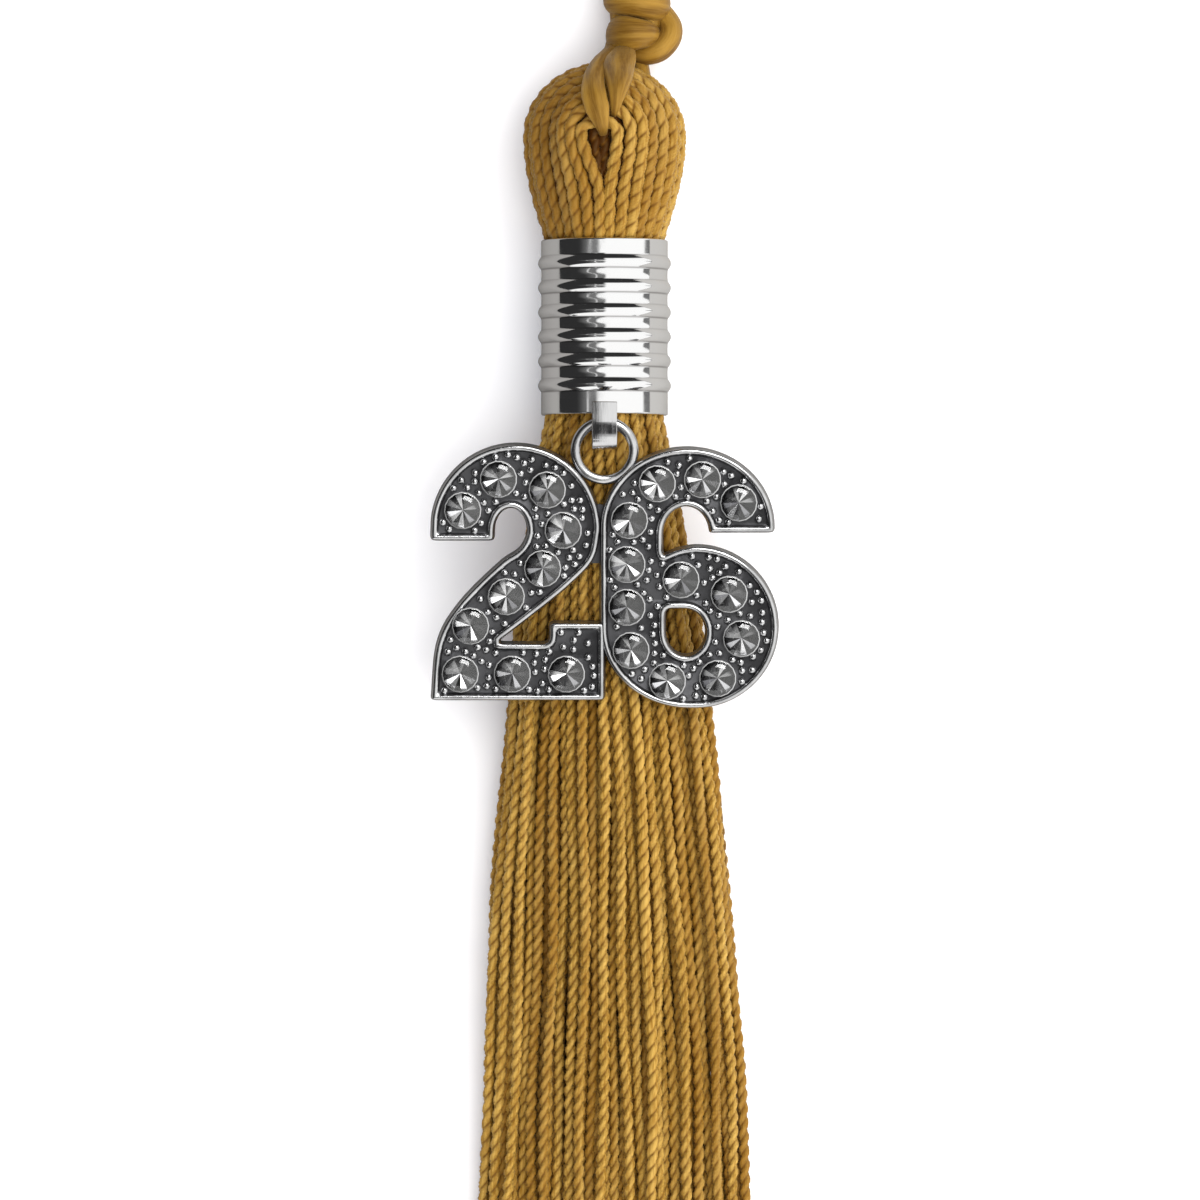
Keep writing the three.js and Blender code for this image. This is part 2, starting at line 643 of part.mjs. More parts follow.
function knotGeometry() {
  const wraps = KNOT_WRAPS.map((wrap) => {
    const ring = new THREE.TorusGeometry(wrap.meanRadius, wrap.tubeRadius, CORD.sides, TUBE_STEPS.wrap);
    ring.rotateX(Math.PI / 2);
    ring.rotateZ(THREE.MathUtils.degToRad(wrap.tiltDegrees));
    ring.translate(KNOT.x, wrap.y, KNOT.z);
    return toSolid(ring);
  });
  const coreLength = KNOT.coreTo - KNOT.coreFrom;
  const core = new THREE.CylinderGeometry(KNOT.coreRadius, KNOT.coreRadius, coreLength, KNOT.coreSides);
  core.translate(KNOT.x, (KNOT.coreTo + KNOT.coreFrom) / 2, KNOT.z);
  const stubs = [-1, 1].map((side) => {
    const length = STUBS.to - KNOT.coreFrom;
    const stub = new THREE.CylinderGeometry(CORD.radius, CORD.radius, length, CORD.sides);
    stub.translate(KNOT.x + (side * STUBS.spacing) / 2, KNOT.coreFrom + length / 2, KNOT.z);
    return toSolid(stub);
  });
  const tubes = [
    tubeThrough(KNOT_CROSSING, CORD.radius, CORD.sides, TUBE_STEPS.crossing),
    tubeThrough(LEFT_LEG, LEG_RADIUS, CORD.sides, TUBE_STEPS.leftLeg),
    tubeThrough(RIGHT_LEG, LEG_RADIUS, CORD.sides, TUBE_STEPS.rightLeg),
  ].map(toSolid);
  return toGeometry(wasm.Manifold.union([toSolid(core), ...stubs, ...wraps, ...tubes]));
}

function loopGeometry() {
  return tubeThrough(LOOP_ROUTE, CORD.radius, CORD.sides, TUBE_STEPS.loop);
}

// Putting it together

function piece(name, geometry, material) {
  const mesh = new THREE.Mesh(geometry, material);
  mesh.name = name;
  return mesh;
}

const yarn = piece('yarn', yarnGeometry(), yarnFinish);
const collar = piece('collar', collarGeometry(), chromeFinish);
const knot = piece('knot', knotGeometry(), satinFinish);
const hangingLoop = piece('hanging_loop', loopGeometry(), satinFinish);

const charmGroup = new THREE.Group();
charmGroup.position.set(0, SWING_AXIS.y, SWING_AXIS.z);
charmGroup.rotation.x = THREE.MathUtils.degToRad(CHARM.tiltDegrees);
charmGroup.add(piece('charm', charmGeometry(), castFinish));
for (const [digit, places] of Object.entries(STONE_PLACES)) {
  places.forEach((place, i) => {
    const number = String(i + 1).padStart(2, '0');
    charmGroup.add(piece(`stone_${digit}_${number}`, stoneGeometry(place), crystalFinish));
  });
}

const group = new THREE.Group();
group.add(yarn, collar, knot, charmGroup, hangingLoop);

// The origin is the middle of the base of all but the loop
group.updateMatrixWorld(true);
const extent = new THREE.Box3();
for (const solid of [yarn, collar, knot, charmGroup]) extent.expandByObject(solid, true);
const middle = extent.getCenter(new THREE.Vector3());
group.position.set(-middle.x, -middle.y, -extent.min.z);

export default group;
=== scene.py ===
# %% [markdown]
# # A graduation tassel, made in Blender from numpy surfaces
#
# The tassel lies on its back on a white table and is seen from straight above. Its solid model is loaded
# first, as a frame that gives every piece its place. Then each piece gets a finer surface: twisted yarn,
# satin cord, a chromed collar, and a cast charm with pellets and crystals.

import json
from types import SimpleNamespace as Sizes

import bpy
import numpy as np
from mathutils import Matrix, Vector
from mathutils.geometry import tessellate_polygon

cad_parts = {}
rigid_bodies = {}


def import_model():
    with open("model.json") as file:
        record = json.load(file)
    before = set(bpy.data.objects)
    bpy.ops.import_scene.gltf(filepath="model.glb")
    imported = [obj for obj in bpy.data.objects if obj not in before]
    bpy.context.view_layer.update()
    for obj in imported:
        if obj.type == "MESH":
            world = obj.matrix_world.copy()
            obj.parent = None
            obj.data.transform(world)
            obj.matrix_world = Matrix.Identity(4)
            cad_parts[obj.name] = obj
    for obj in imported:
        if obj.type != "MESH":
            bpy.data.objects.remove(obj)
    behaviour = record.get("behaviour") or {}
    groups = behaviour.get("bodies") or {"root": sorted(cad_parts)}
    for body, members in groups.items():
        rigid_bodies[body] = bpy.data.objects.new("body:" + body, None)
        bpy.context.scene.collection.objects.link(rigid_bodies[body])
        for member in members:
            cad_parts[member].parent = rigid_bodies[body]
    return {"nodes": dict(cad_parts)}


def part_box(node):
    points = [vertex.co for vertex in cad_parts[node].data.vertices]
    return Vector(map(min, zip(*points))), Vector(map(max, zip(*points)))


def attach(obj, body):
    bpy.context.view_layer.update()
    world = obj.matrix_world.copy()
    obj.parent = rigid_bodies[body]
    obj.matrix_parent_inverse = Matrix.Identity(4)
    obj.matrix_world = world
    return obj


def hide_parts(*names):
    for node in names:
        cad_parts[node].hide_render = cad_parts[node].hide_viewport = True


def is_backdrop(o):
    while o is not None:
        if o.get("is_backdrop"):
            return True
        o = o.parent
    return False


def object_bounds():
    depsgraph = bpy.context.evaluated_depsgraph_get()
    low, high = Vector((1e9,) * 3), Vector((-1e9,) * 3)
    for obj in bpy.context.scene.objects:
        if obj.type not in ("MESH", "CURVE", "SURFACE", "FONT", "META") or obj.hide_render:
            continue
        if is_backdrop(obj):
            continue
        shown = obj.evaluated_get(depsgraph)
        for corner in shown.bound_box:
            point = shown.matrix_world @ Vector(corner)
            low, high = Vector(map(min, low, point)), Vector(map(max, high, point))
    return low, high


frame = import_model()
box_of_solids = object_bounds()

# %% [markdown]
# ## Where things are
#
# All sizes below are in millimetres from the lower edge of the metal collar, with y running up the tassel
# and z up from the table. Blender works in metres from the frame's own origin, so one function at the end
# of each piece's making changes the one into the other.

# %% Places and sizes that several pieces share
MM = 0.001
COLLAR_LENGTH = 16.65
COLLAR_RADIUS = 6.035
AXIS_Z = 7.0
COLLAR_EDGE = np.array([0.0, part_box("collar")[1].y - COLLAR_LENGTH * MM, 0.0])
random = np.random.default_rng(26)


def in_frame(points):
    """Millimetres from the collar's lower edge, as metres in the frame."""
    return np.asarray(points, float) * MM + COLLAR_EDGE


print("collar's lower edge at y =", round(COLLAR_EDGE[1] * 1000, 2), "mm")

# %% [markdown]
# ## Camera
#
# The picture is taken from straight above with a long lens, so the near charm and the table keep almost the
# same scale. The frame is 114 mm across at the height of the collar's axis.

# %% Camera
scene = bpy.context.scene
PICTURE_CENTRE = (-0.43, -17.6, 9.0)
PICTURE_WIDTH = 114.0
LENS, SENSOR = 200.0, 36.0
camera = bpy.data.objects.new("camera", bpy.data.cameras.new("camera"))
scene.collection.objects.link(camera)
camera.data.lens = LENS
camera.data.sensor_width = SENSOR
distance = PICTURE_WIDTH / SENSOR * LENS
camera.location = Vector(in_frame(PICTURE_CENTRE)) + Vector((0, 0, distance * MM))
camera.data.clip_start, camera.data.clip_end = 0.01, 20
scene.camera = camera
print("camera", round(distance), "mm above the tassel")

# %% [markdown]
# ## Making meshes
#
# Every piece is a set of points worked out with whole arrays, and a set of faces that joins them. A cord is
# a cross section carried along a path, so two functions are shared by all of them: one places the sections
# and one joins them into closed tubes.

# %% From arrays to a piece


def put_mesh(name, points, faces, body, finish, slot, smooth=True, **values):
    """A mesh piece from points in mm and a list of face arrays, riding on a body. Further arrays become
    point attributes, which the finishes read."""
    mesh = bpy.data.meshes.new(name)
    corners = np.concatenate([part.ravel() for part in faces]).astype(np.int32)
    sizes = np.concatenate([np.full(len(part), part.shape[1]) for part in faces])
    mesh.vertices.add(len(points))
    mesh.vertices.foreach_set("co", in_frame(points).astype(np.float32).ravel())
    mesh.loops.add(len(corners))
    mesh.loops.foreach_set("vertex_index", corners)
    mesh.polygons.add(len(sizes))
    mesh.polygons.foreach_set("loop_start", np.concatenate([[0], np.cumsum(sizes)[:-1]]).astype(np.int32))
    mesh.update(calc_edges=True)
    mesh.polygons.foreach_set("use_smooth", np.full(len(sizes), smooth))
    for key, value in values.items():
        kind, field = ("FLOAT_VECTOR", "vector") if value.ndim > 1 else ("FLOAT", "value")
        mesh.attributes.new(key, kind, "POINT").data.foreach_set(field, value.astype(np.float32).ravel())
    mesh.materials.append(finish)
    piece = bpy.data.objects.new(name, mesh)
    scene.collection.objects.link(piece)
    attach(piece, body)
    print(f"{name}: {(sizes - 2).sum()} triangles")
    return piece


def unit(vectors):
    """The same directions with length one."""
    return vectors / np.linalg.norm(vectors, axis=-1, keepdims=True)


def length_along(paths):
    """Distance along each path at each of its points."""
    steps = np.linalg.norm(np.diff(paths, axis=-2), axis=-1)
    return np.concatenate([np.zeros_like(steps[..., :1]), np.cumsum(steps, axis=-1)], axis=-1)


def carry(paths, distances, angles, reference, closed_ring=False):
    """Sections carried along paths: point n of a section stands at distance distances[..., n] from the path
    in the direction angles[..., n], counted from the side (reference x tangent) towards the upper side. On a
    closed ring the tangents next to the seam are taken across it."""
    longer = np.concatenate([paths[-2:], paths, paths[:2]]) if closed_ring else paths
    tangent = unit(np.gradient(longer, axis=-2))
    if closed_ring:
        tangent = tangent[2:-2]
    side = unit(np.cross(np.broadcast_to(reference, tangent.shape), tangent))
    upper = np.cross(tangent, side)
    across = (distances * np.cos(angles))[..., None] * side[..., None, :]
    along_upper = (distances * np.sin(angles))[..., None] * upper[..., None, :]
    return paths[..., None, :] + across + along_upper


def full_turn(count):
    """Evenly spaced angles all round."""
    return np.linspace(0, 2 * np.pi, count, endpoint=False)


def band(rings, later_rings):
    """Quads between closed rings of points and the later rings, both given as point numbers."""
    corners = [rings, np.roll(rings, -1, -1), np.roll(later_rings, -1, -1), later_rings]
    return np.stack(corners, -1).reshape(-1, 4)


def fan(ring, tip):
    """Triangles from a closed ring of points to one point."""
    return np.stack([ring, np.roll(ring, -1, -1), tip + 0 * ring], -1).reshape(-1, 3)


def tube_faces(tubes, rings, around, closed_ring):
    """Bands between neighbouring sections of each tube, and a fan over both ends of an open tube. The two
    middle points of each tube's fans follow all the section points."""
    index = np.arange(tubes * rings * around).reshape(tubes, rings, around)
    if closed_ring:
        return [band(index, np.roll(index, -1, axis=1))]
    middle = index.size + 2 * np.arange(tubes)[:, None]
    return [band(index[:, :-1], index[:, 1:]), fan(index[:, 0, ::-1], middle), fan(index[:, -1], middle + 1)]


def put_tubes(name, paths, sections, body, finish, slot, closed_ring=False, **values):
    """A piece made of tubes: the section points, then the two end points of each path, which are the middles
    of the fans. The values are given for the section points and are zero at the end points."""
    rings, around = sections.shape[-3:-1]
    points = sections.reshape(-1, 3)
    tips = np.zeros((0, 3)) if closed_ring else paths[..., [0, -1], :].reshape(-1, 3)
    for key, value in values.items():
        each = sections.shape if np.ndim(value) == sections.ndim else sections.shape[:-1]
        flat = np.broadcast_to(value, each).reshape(len(points), -1)
        flat = np.concatenate([flat, np.zeros((len(tips), flat.shape[1]))])
        values[key] = flat if flat.shape[1] > 1 else flat[:, 0]
    faces = tube_faces(len(points) // (rings * around), rings, around, closed_ring)
    return put_mesh(name, np.concatenate([points, tips]), faces, body, finish, slot, **values)


def smooth_line(places, count):
    """A smooth line through the places: on each stretch a cubic whose slope at a place is that of the line
    between the two places beside it. The points are evenly spaced along it."""
    places = np.asarray(places, float)
    slopes = np.gradient(places, axis=0)
    where = np.linspace(0, len(places) - 1, 40 * len(places))
    i = np.minimum(where.astype(int), len(places) - 2)
    t = (where - i)[:, None]
    start, end, leave, arrive = places[i], places[i + 1], slopes[i], slopes[i + 1]
    line = (2 * t**3 - 3 * t**2 + 1) * start + (t**3 - 2 * t**2 + t) * leave
    line = line + (3 * t**2 - 2 * t**3) * end + (t**3 - t**2) * arrive
    run = length_along(line)
    even = np.linspace(0, run[-1], count)
    return np.stack([np.interp(even, run, line[:, axis]) for axis in range(3)], -1)


print("quads on a closed ring of 3 sections of 4 corners:", len(tube_faces(1, 3, 4, True)[0]))

# %% [markdown]
# ## Finishes: how a material is built
#
# A finish is one Principled shader fed by a few pattern nodes. The first helper adds a node, sets its options
# and fills its inputs in one call. The others name the few nodes that every recipe needs.

# %% Helpers for materials


def add_node(kind, inputs, tree=None, **options):
    """Adds a node, sets its options, and links or sets its inputs. Where no tree is given, it is that of the
    first linked input. Gives the node's outputs."""
    linked = {key: value for key, value in inputs.items() if isinstance(value, bpy.types.NodeSocket)}
    tree = tree or next(iter(linked.values())).id_data
    node = tree.nodes.new(kind)
    for option, value in options.items():
        setattr(node, option, value)
    for key, value in inputs.items():
        if key in linked:
            tree.links.new(value, node.inputs[key])
        else:
            node.inputs[key].default_value = value
    return node.outputs


def new_finish(name, **sockets):
    """A material with one Principled shader whose sockets have these values, and its node tree."""
    material = bpy.data.materials.new(name)
    material.use_nodes = True
    shader = material.node_tree.nodes["Principled BSDF"]
    for key, value in sockets.items():
        shader.inputs[key.replace("_", " ")].default_value = value
    return material, material.node_tree


def feed(material, **sockets):
    """Links an output to each of these sockets of the material's shader."""
    tree = material.node_tree
    for key, output in sockets.items():
        tree.links.new(output, tree.nodes["Principled BSDF"].inputs[key.replace("_", " ")])
    print(f"finish {material.name}: {len(tree.nodes)} nodes")


def mix_colour(amount, low, high):
    """A colour between low and high."""
    return add_node("ShaderNodeMix", {0: amount, 6: low, 7: high}, data_type="RGBA")[2]


def ranged(value, low, high, to_low=0.0, to_high=1.0):
    """A value carried from one range to another, with soft ends."""
    feeds = {"Value": value, "From Min": low, "From Max": high, "To Min": to_low, "To Max": to_high}
    return add_node("ShaderNodeMapRange", feeds, interpolation_type="SMOOTHSTEP")[0]


def calculated(operation, *values):
    """The result of a maths node."""
    return add_node("ShaderNodeMath", dict(enumerate(values)), operation=operation)[0]


def noise(vector, scale, detail):
    """A cloudy pattern between 0 and 1, with about this many clouds to one unit of the vector."""
    return add_node("ShaderNodeTexNoise", {"Vector": vector, "Scale": scale, "Detail": detail})[0]


def stored(tree, name, output="Fac"):
    """A value that the mesh stores at its points."""
    return add_node("ShaderNodeAttribute", {}, tree, attribute_name=name)[output]


def relief(height, strength, depth):
    """The normal of a fine relief that is this deep, in metres."""
    return add_node("ShaderNodeBump", {"Strength": strength, "Distance": depth, "Height": height})[0]


# %% [markdown]
# ## The hanging loop
#
# Above the knot, outside the picture, the satin cord makes the loop that hangs on the button of a cap. It is
# a round cord of 2.7 mm, so it is a tube along one smooth route, the solid model's own. Satin cord is woven
# round a core, and its fine weave shows as a soft sheen with hair-thin lines along the cord. Slow light and
# dark clouds along the cord are the painted highlight and painted shade of its folds.

# %% Satin finish
satin, tree = new_finish(
    "satin_cord",
    Roughness=0.34,
    Specular_Tint=(1.0, 0.72, 0.32, 1),
    Sheen_Weight=0.12,
    Sheen_Tint=(1.0, 0.75, 0.4, 1),
    Sheen_Roughness=0.35,
)
run_of_threads = stored(tree, "fibre", "Vector")
threads = noise(run_of_threads, 9.0, 2.0)
fold_relief_and_painted_shade = noise(run_of_threads, 1.3, 1.0)
# painted shade and painted highlight: the slow fold noise darkens and lightens the colour, and it also adds
# to the relief
base = mix_colour(ranged(fold_relief_and_painted_shade, 0.34, 0.66), (0.13, 0.058, 0.0058, 1), (0.3, 0.162, 0.024, 1))
base = mix_colour(ranged(threads, 0.35, 0.65, 0.0, 0.22), base, (0.4, 0.235, 0.048, 1))
weave = calculated("MULTIPLY_ADD", fold_relief_and_painted_shade, 3.0, threads)
feed(satin, Base_Color=base, Normal=relief(weave, 0.5, 0.00012))

# %% Satin cord along a path
THREAD_UNIT = 9.0  # mm of cord to one unit of the thread coordinates


def satin_cord(name, path, across, upper, reference, closed_ring=False, around=20):
    """An oval tube along a path. Its half sizes, across and upper, are numbers or one for each point of the
    path: the section at angle t is (across cos t, upper sin t). Its thread coordinates run along it."""
    t = full_turn(around)
    across, upper = (np.broadcast_to(size, len(path))[:, None] for size in (across, upper))
    x, y = across * np.cos(t), upper * np.sin(t)
    sections = carry(path, np.hypot(x, y), np.arctan2(y, x), reference, closed_ring)
    run = length_along(path)[:, None] / THREAD_UNIT + 0 * t
    fibre = np.stack([np.cos(t) + 0 * run, np.sin(t) + 0 * run, run], -1)
    return put_tubes(name, path, sections, "tassel", satin, "satin_cord", closed_ring, fibre=fibre)


SATIN_RADIUS = 1.35
LOOP_ROUTE = [
    (1.65, 42.7, 3.3), (1.6, 45.6, 3), (1.4, 49, 2.3), (0.9, 53, 1.7), (0.1, 58, 1.42),
    (-1, 64, 1.4), (-2.2, 71, 1.4), (-3.4, 79, 1.4), (-4.4, 88, 1.4), (-5, 97, 1.4),
    (-5.2, 106, 1.4), (-4.6, 114, 1.4), (-2.6, 120.5, 1.4), (1, 125, 1.4), (5.4, 125.6, 1.4),
    (9.2, 122.2, 1.4), (11.6, 116, 1.4), (12.6, 108, 1.4), (12.5, 99, 1.4), (11.7, 90, 1.4),
    (10.4, 81, 1.4), (8.9, 72, 1.4), (7.4, 64, 1.4), (6.1, 57.5, 1.42), (5.2, 52.5, 1.7),
    (4.7, 48.8, 2.3), (4.5, 45.6, 3), (4.45, 42.7, 3.3),
]
loop_path = smooth_line(LOOP_ROUTE, 360)
loop = satin_cord("hanging_loop_cord", loop_path, SATIN_RADIUS, SATIN_RADIUS, (0, 0, 1))
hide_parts("hanging_loop")

# %% [markdown]
# ## Twisted cords
#
# The yarn of a tassel is a two-ply cord: two soft plies of rayon turned round each other, which leaves a
# dark notch every 1.4 mm. The notch could be a bump in the finish, but it also shapes the light on the cord,
# so it is modelled. The section has two lobes and turns along the cord, corners and all, so that the notch
# follows an edge of the mesh and stays clean with few faces.

# %% The twisted cord as a surface
LAY = 2.74  # mm in which a ply goes once round
CORD_RADIUS = 0.56
FINE_CORNERS = np.radians([-90, -60, -22, 22, 60, 90, 120, 158, 202, 240])
PLAIN_CORNERS = np.radians([-90, -45, 0, 45, 90, 135, 180, 225])


def twisted_cords(name, paths, radius=CORD_RADIUS, corners=FINE_CORNERS, notch=0.5, lay=LAY, painted_shade=0.0):
    """Two-ply cords along paths. At a distance s along a cord, the section corner at angle t from the ply's
    middle stands radius * (1 - notch + notch |cos t|) from the path, turned by 2 pi s / lay. By chance each
    cord has 0.94 to 1.08 of the lay, 0.6 to 1.1 of the notch and 0.96 to 1.04 of the radius, and it swells
    and thins along its way. The painted shade, one for all or one for each cord and ring, darkens its colour."""
    count, run = len(paths), length_along(paths)
    own = random.random((4, count, 1))
    own_lay = lay * (0.94 + 0.14 * own[0])
    own_notch = notch * (0.6 + 0.5 * own[2])[..., None]
    own_radius = radius * (0.96 + 0.08 * own[3])[..., None]
    own_tone = random.random((count, 1, 1))
    angles = (2 * np.pi * (run / own_lay + own[1]))[..., None] + corners
    lobes = np.abs(np.cos(corners))
    swelling = 1 + 0.05 * np.sin(run / 2.1 + 6.28 * own[3]) * np.sin(run / 5.3 + 6.28 * own[0])
    distances = own_radius * swelling[..., None] * (1 - own_notch + own_notch * lobes)
    along = run[..., None] / 5 + 40 * own_tone + 0 * angles
    fibre = np.stack([0.9 * np.cos(angles), 0.9 * np.sin(angles), along], -1)
    # painted shade in the notches between the plies, strong where the cord faces up or down and faint at its
    # edges
    notch_shade = (1 - lobes) ** 1.5 * (0.2 + 0.8 * np.sin(angles) ** 2)
    # the stored tone is each cord's own random tone plus its painted shade
    values = {"fibre": fibre, "notch_shade": notch_shade, "tone_and_shade": own_tone + np.asarray(painted_shade)[..., None]}
    sections = carry(paths, distances, angles, (0, 0, 1))
    return put_tubes(name, paths, sections, "tassel", yarn, "yarn", **values)


print(f"a cord is {2 * CORD_RADIUS} mm thick and its plies go once round in {LAY} mm")

# %% [markdown]
# ### Yarn finish
#
# Rayon is shiny along its fibres. The colour runs from a dark brown in the notches, which is painted shade,
# to a pale gold on the plies, each cord has its own slight tone, and a noise that is stretched along the cord
# gives the fibres. The painted shade in the notches fades towards the cord's two edges, so that a notch reads
# as a short dash, as on the real cord. Cords given a painted shade value, low or deep in the tassel, turn a
# deep brown.

# %% Yarn finish
yarn, tree = new_finish(
    "yarn",
    Roughness=0.4,
    Specular_Tint=(1.0, 0.75, 0.35, 1),
    Sheen_Weight=0.1,
    Sheen_Tint=(1.0, 0.75, 0.4, 1),
    Sheen_Roughness=0.4,
)
along_fibres = stored(tree, "fibre", "Vector")
painted_notch_shade = stored(tree, "notch_shade")
tone_and_painted_shade = stored(tree, "tone_and_shade")
hairs = noise(along_fibres, 3.0, 5.0)
patches = noise(along_fibres, 0.55, 2.0)
gold = mix_colour(ranged(hairs, 0.3, 0.7), (0.28, 0.136, 0.014, 1), (0.5, 0.305, 0.064, 1))
gold = mix_colour(ranged(tone_and_painted_shade, 0.1, 1.0, 0.0, 0.7), gold, (0.235, 0.106, 0.01, 1))
gold = mix_colour(ranged(patches, 0.4, 0.75, 0.0, 0.4), gold, (0.6, 0.39, 0.105, 1))
# painted shade: tones above 0.9 come from painted shade and turn the cord deep brown
gold = mix_colour(ranged(tone_and_painted_shade, 0.9, 2.9), gold, (0.05, 0.014, 0.0012, 1))
# painted shade: the notches are coloured dark brown
gold = mix_colour(ranged(painted_notch_shade, 0.12, 0.9, 0.0, 0.92), gold, (0.12, 0.045, 0.003, 1))
feed(yarn, Base_Color=gold, Normal=relief(hairs, 0.6, 0.00015))

# %% [markdown]
# ## The skirt
#
# About a hundred cords leave the collar packed together. They sink to the table, spread sideways and settle
# in piles. The solid model has fewer and plainer strands, laid out in columns and rows. The same rule is used
# here with more columns, and each cord wanders a little, so that dark gaps open as in a real tassel.

# %% Where the cords of the skirt run
COLUMNS = 11
ROWS = 5
ROW_STEP = 0.98
PILE_STEP = 1.0
REACH = 5.2
MOUTH = Sizes(half_width=5.65, spread=8.9, over=43.0)
SINKING = Sizes(over=32.0, settles_from=25.0, settles_over=70.0)
DRIFT = Sizes(sideways=1.05, over=38.0)
WAVES = [(0.24, 83.0), (0.16, 31.0), (0.13, 47.0)]  # height, length: two sideways and one upwards
SKIRT_LENGTH = 195.0
UNEVEN_END = 2.4


def smoothstep(value):
    """0 below 0, 1 above 1, and a soft S between."""
    value = np.clip(value, 0, 1)
    return value * value * (3 - 2 * value)


def skirt_slots():
    """Column, row and place in its column's pile of each cord, in a staggered pattern that fills a disc."""
    column, row = np.meshgrid(np.arange(-COLUMNS, COLUMNS + 1), np.arange(-ROWS, ROWS + 1), indexing="ij")
    step = (MOUTH.half_width - CORD_RADIUS) / COLUMNS
    kept = ((column + row) % 2 == 0) & (np.hypot(column * step, row * ROW_STEP) <= REACH)
    rank = np.cumsum(kept, axis=1) - 1
    above = np.cumsum(kept[:, ::-1], axis=1)[:, ::-1] - 1
    return np.stack([column[kept], row[kept], rank[kept], above[kept]])


def skirt_paths(cords, stations):
    """The line of each cord. Its place across is column * step, and the step grows with the distance s below
    the collar as 1 - exp(-s / 43). Its height sinks to the table and turns into its place in the pile. Three
    slow waves, each with a phase of its own, make the cord wander."""
    column, row, rank, _ = cords[..., None]
    length = SKIRT_LENGTH - UNEVEN_END * random.random((len(column), 1))
    s = np.minimum(stations, SKIRT_LENGTH) / SKIRT_LENGTH * length
    below = np.maximum(s, 0)
    half_width = MOUTH.half_width + MOUTH.spread * (1 - np.exp(-below / MOUTH.over))
    step = (half_width - CORD_RADIUS) / COLUMNS
    lowest = AXIS_Z - ROWS * ROW_STEP - CORD_RADIUS
    hung = AXIS_Z + row * ROW_STEP - lowest * smoothstep(s / SINKING.over)
    settled = CORD_RADIUS + rank * PILE_STEP
    blend = smoothstep((s - SINKING.settles_from) / SINKING.settles_over)
    phases = 2 * np.pi * random.random((4, len(column), 1))
    waves = [size * np.sin(2 * np.pi * below / long + phase) for (size, long), phase in zip(WAVES, phases)]
    grow = smoothstep(below / 30)
    drift = DRIFT.sideways * (1 - np.exp(-((below / DRIFT.over) ** 2)))
    x = column * step + drift + grow * (waves[0] + waves[1])
    z = np.maximum(hung * (1 - blend) + settled * blend + grow * waves[2], 1.1 * CORD_RADIUS)
    return np.stack([x, -s, z], -1)


# %% Cords of the skirt
IN_COLLAR = -1.5  # mm, where each cord starts
PICTURE_END = 82.0  # mm below the collar, where the sections may stand further apart
STEP = Sizes(in_picture=0.38, beyond=0.55, hidden=3.0)
slots = skirt_slots()
pile = np.array([np.sum(slots[0] == c) for c in range(-COLUMNS, COLUMNS + 1)])
# one more cord lies low between every two columns, in the lower pile of the two
lower = np.minimum(pile[:-1], pile[1:])
low_cords = np.stack([np.arange(-COLUMNS, COLUMNS) + 0.5, lower - 2.0, lower - 1.4, 0 * lower])
cords = np.concatenate([slots, low_cords], axis=1)
column, above = cords[0], cords[3]
# painted shade: the low cords between the columns are coloured darker
painted_shade = np.where(column % 1 == 0, 0.0, 1.0)
seen = (above < 2) | (np.abs(column) > COLUMNS - 3)
in_picture = np.arange(IN_COLLAR, PICTURE_END, STEP.in_picture)
beyond = np.arange(PICTURE_END, SKIRT_LENGTH + STEP.beyond, STEP.beyond)
shown_stations = np.concatenate([in_picture, beyond])
hidden_stations = np.arange(IN_COLLAR, SKIRT_LENGTH + STEP.hidden, STEP.hidden)
limits = {"far_left": (-12, -5.9), "left": (-5.9, 0), "right": (0, 5.9), "far_right": (5.9, 12)}
for label, (start, end) in limits.items():
    chosen = seen & (column >= start) & (column < end)
    paths = skirt_paths(cords[:, chosen], shown_stations)
    piece = twisted_cords(f"skirt_cords_{label}", paths, painted_shade=painted_shade[chosen, None])
    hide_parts("yarn")
paths = skirt_paths(cords[:, ~seen], hidden_stations)
piece = twisted_cords("skirt_cords_inside", paths, corners=PLAIN_CORNERS, notch=0.0, lay=90)
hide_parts("yarn")
print("cords in the skirt:", len(column), "of which seen:", seen.sum())

# %% [markdown]
# ## The head
#
# The bundle is folded over the satin cord, so each cord goes up one side of the head and down the other. An
# arch is given by its angle round the collar, from 0 at the front to pi at the back, and the arches shrink
# towards both. Below the satin cord the front arches part and leave a slit, dark from its depth and from the
# painted shade on the cords and the core inside it.

# %% The arches of the head
HEAD = Sizes(neck=6.05, half_width=7.95, half_depth=7.6, top=33.85, fold=26.5, foot=17.4, start=15.0)
LOWEST = 0.76
ARCHES = 16
ROPE_RADIUS = 0.66
SLIT = Sizes(start=20.5, end=26.5, half_width=1.2, reach=0.5, middle=-0.5)
GRIP = Sizes(share=0.11, over=1.2)
UNEVEN_ARCH = Sizes(turned=0.07, pressed_in=0.35)
# the painted shade value of the cords and the core deep inside the head
DEEP_SHADE = 2.9


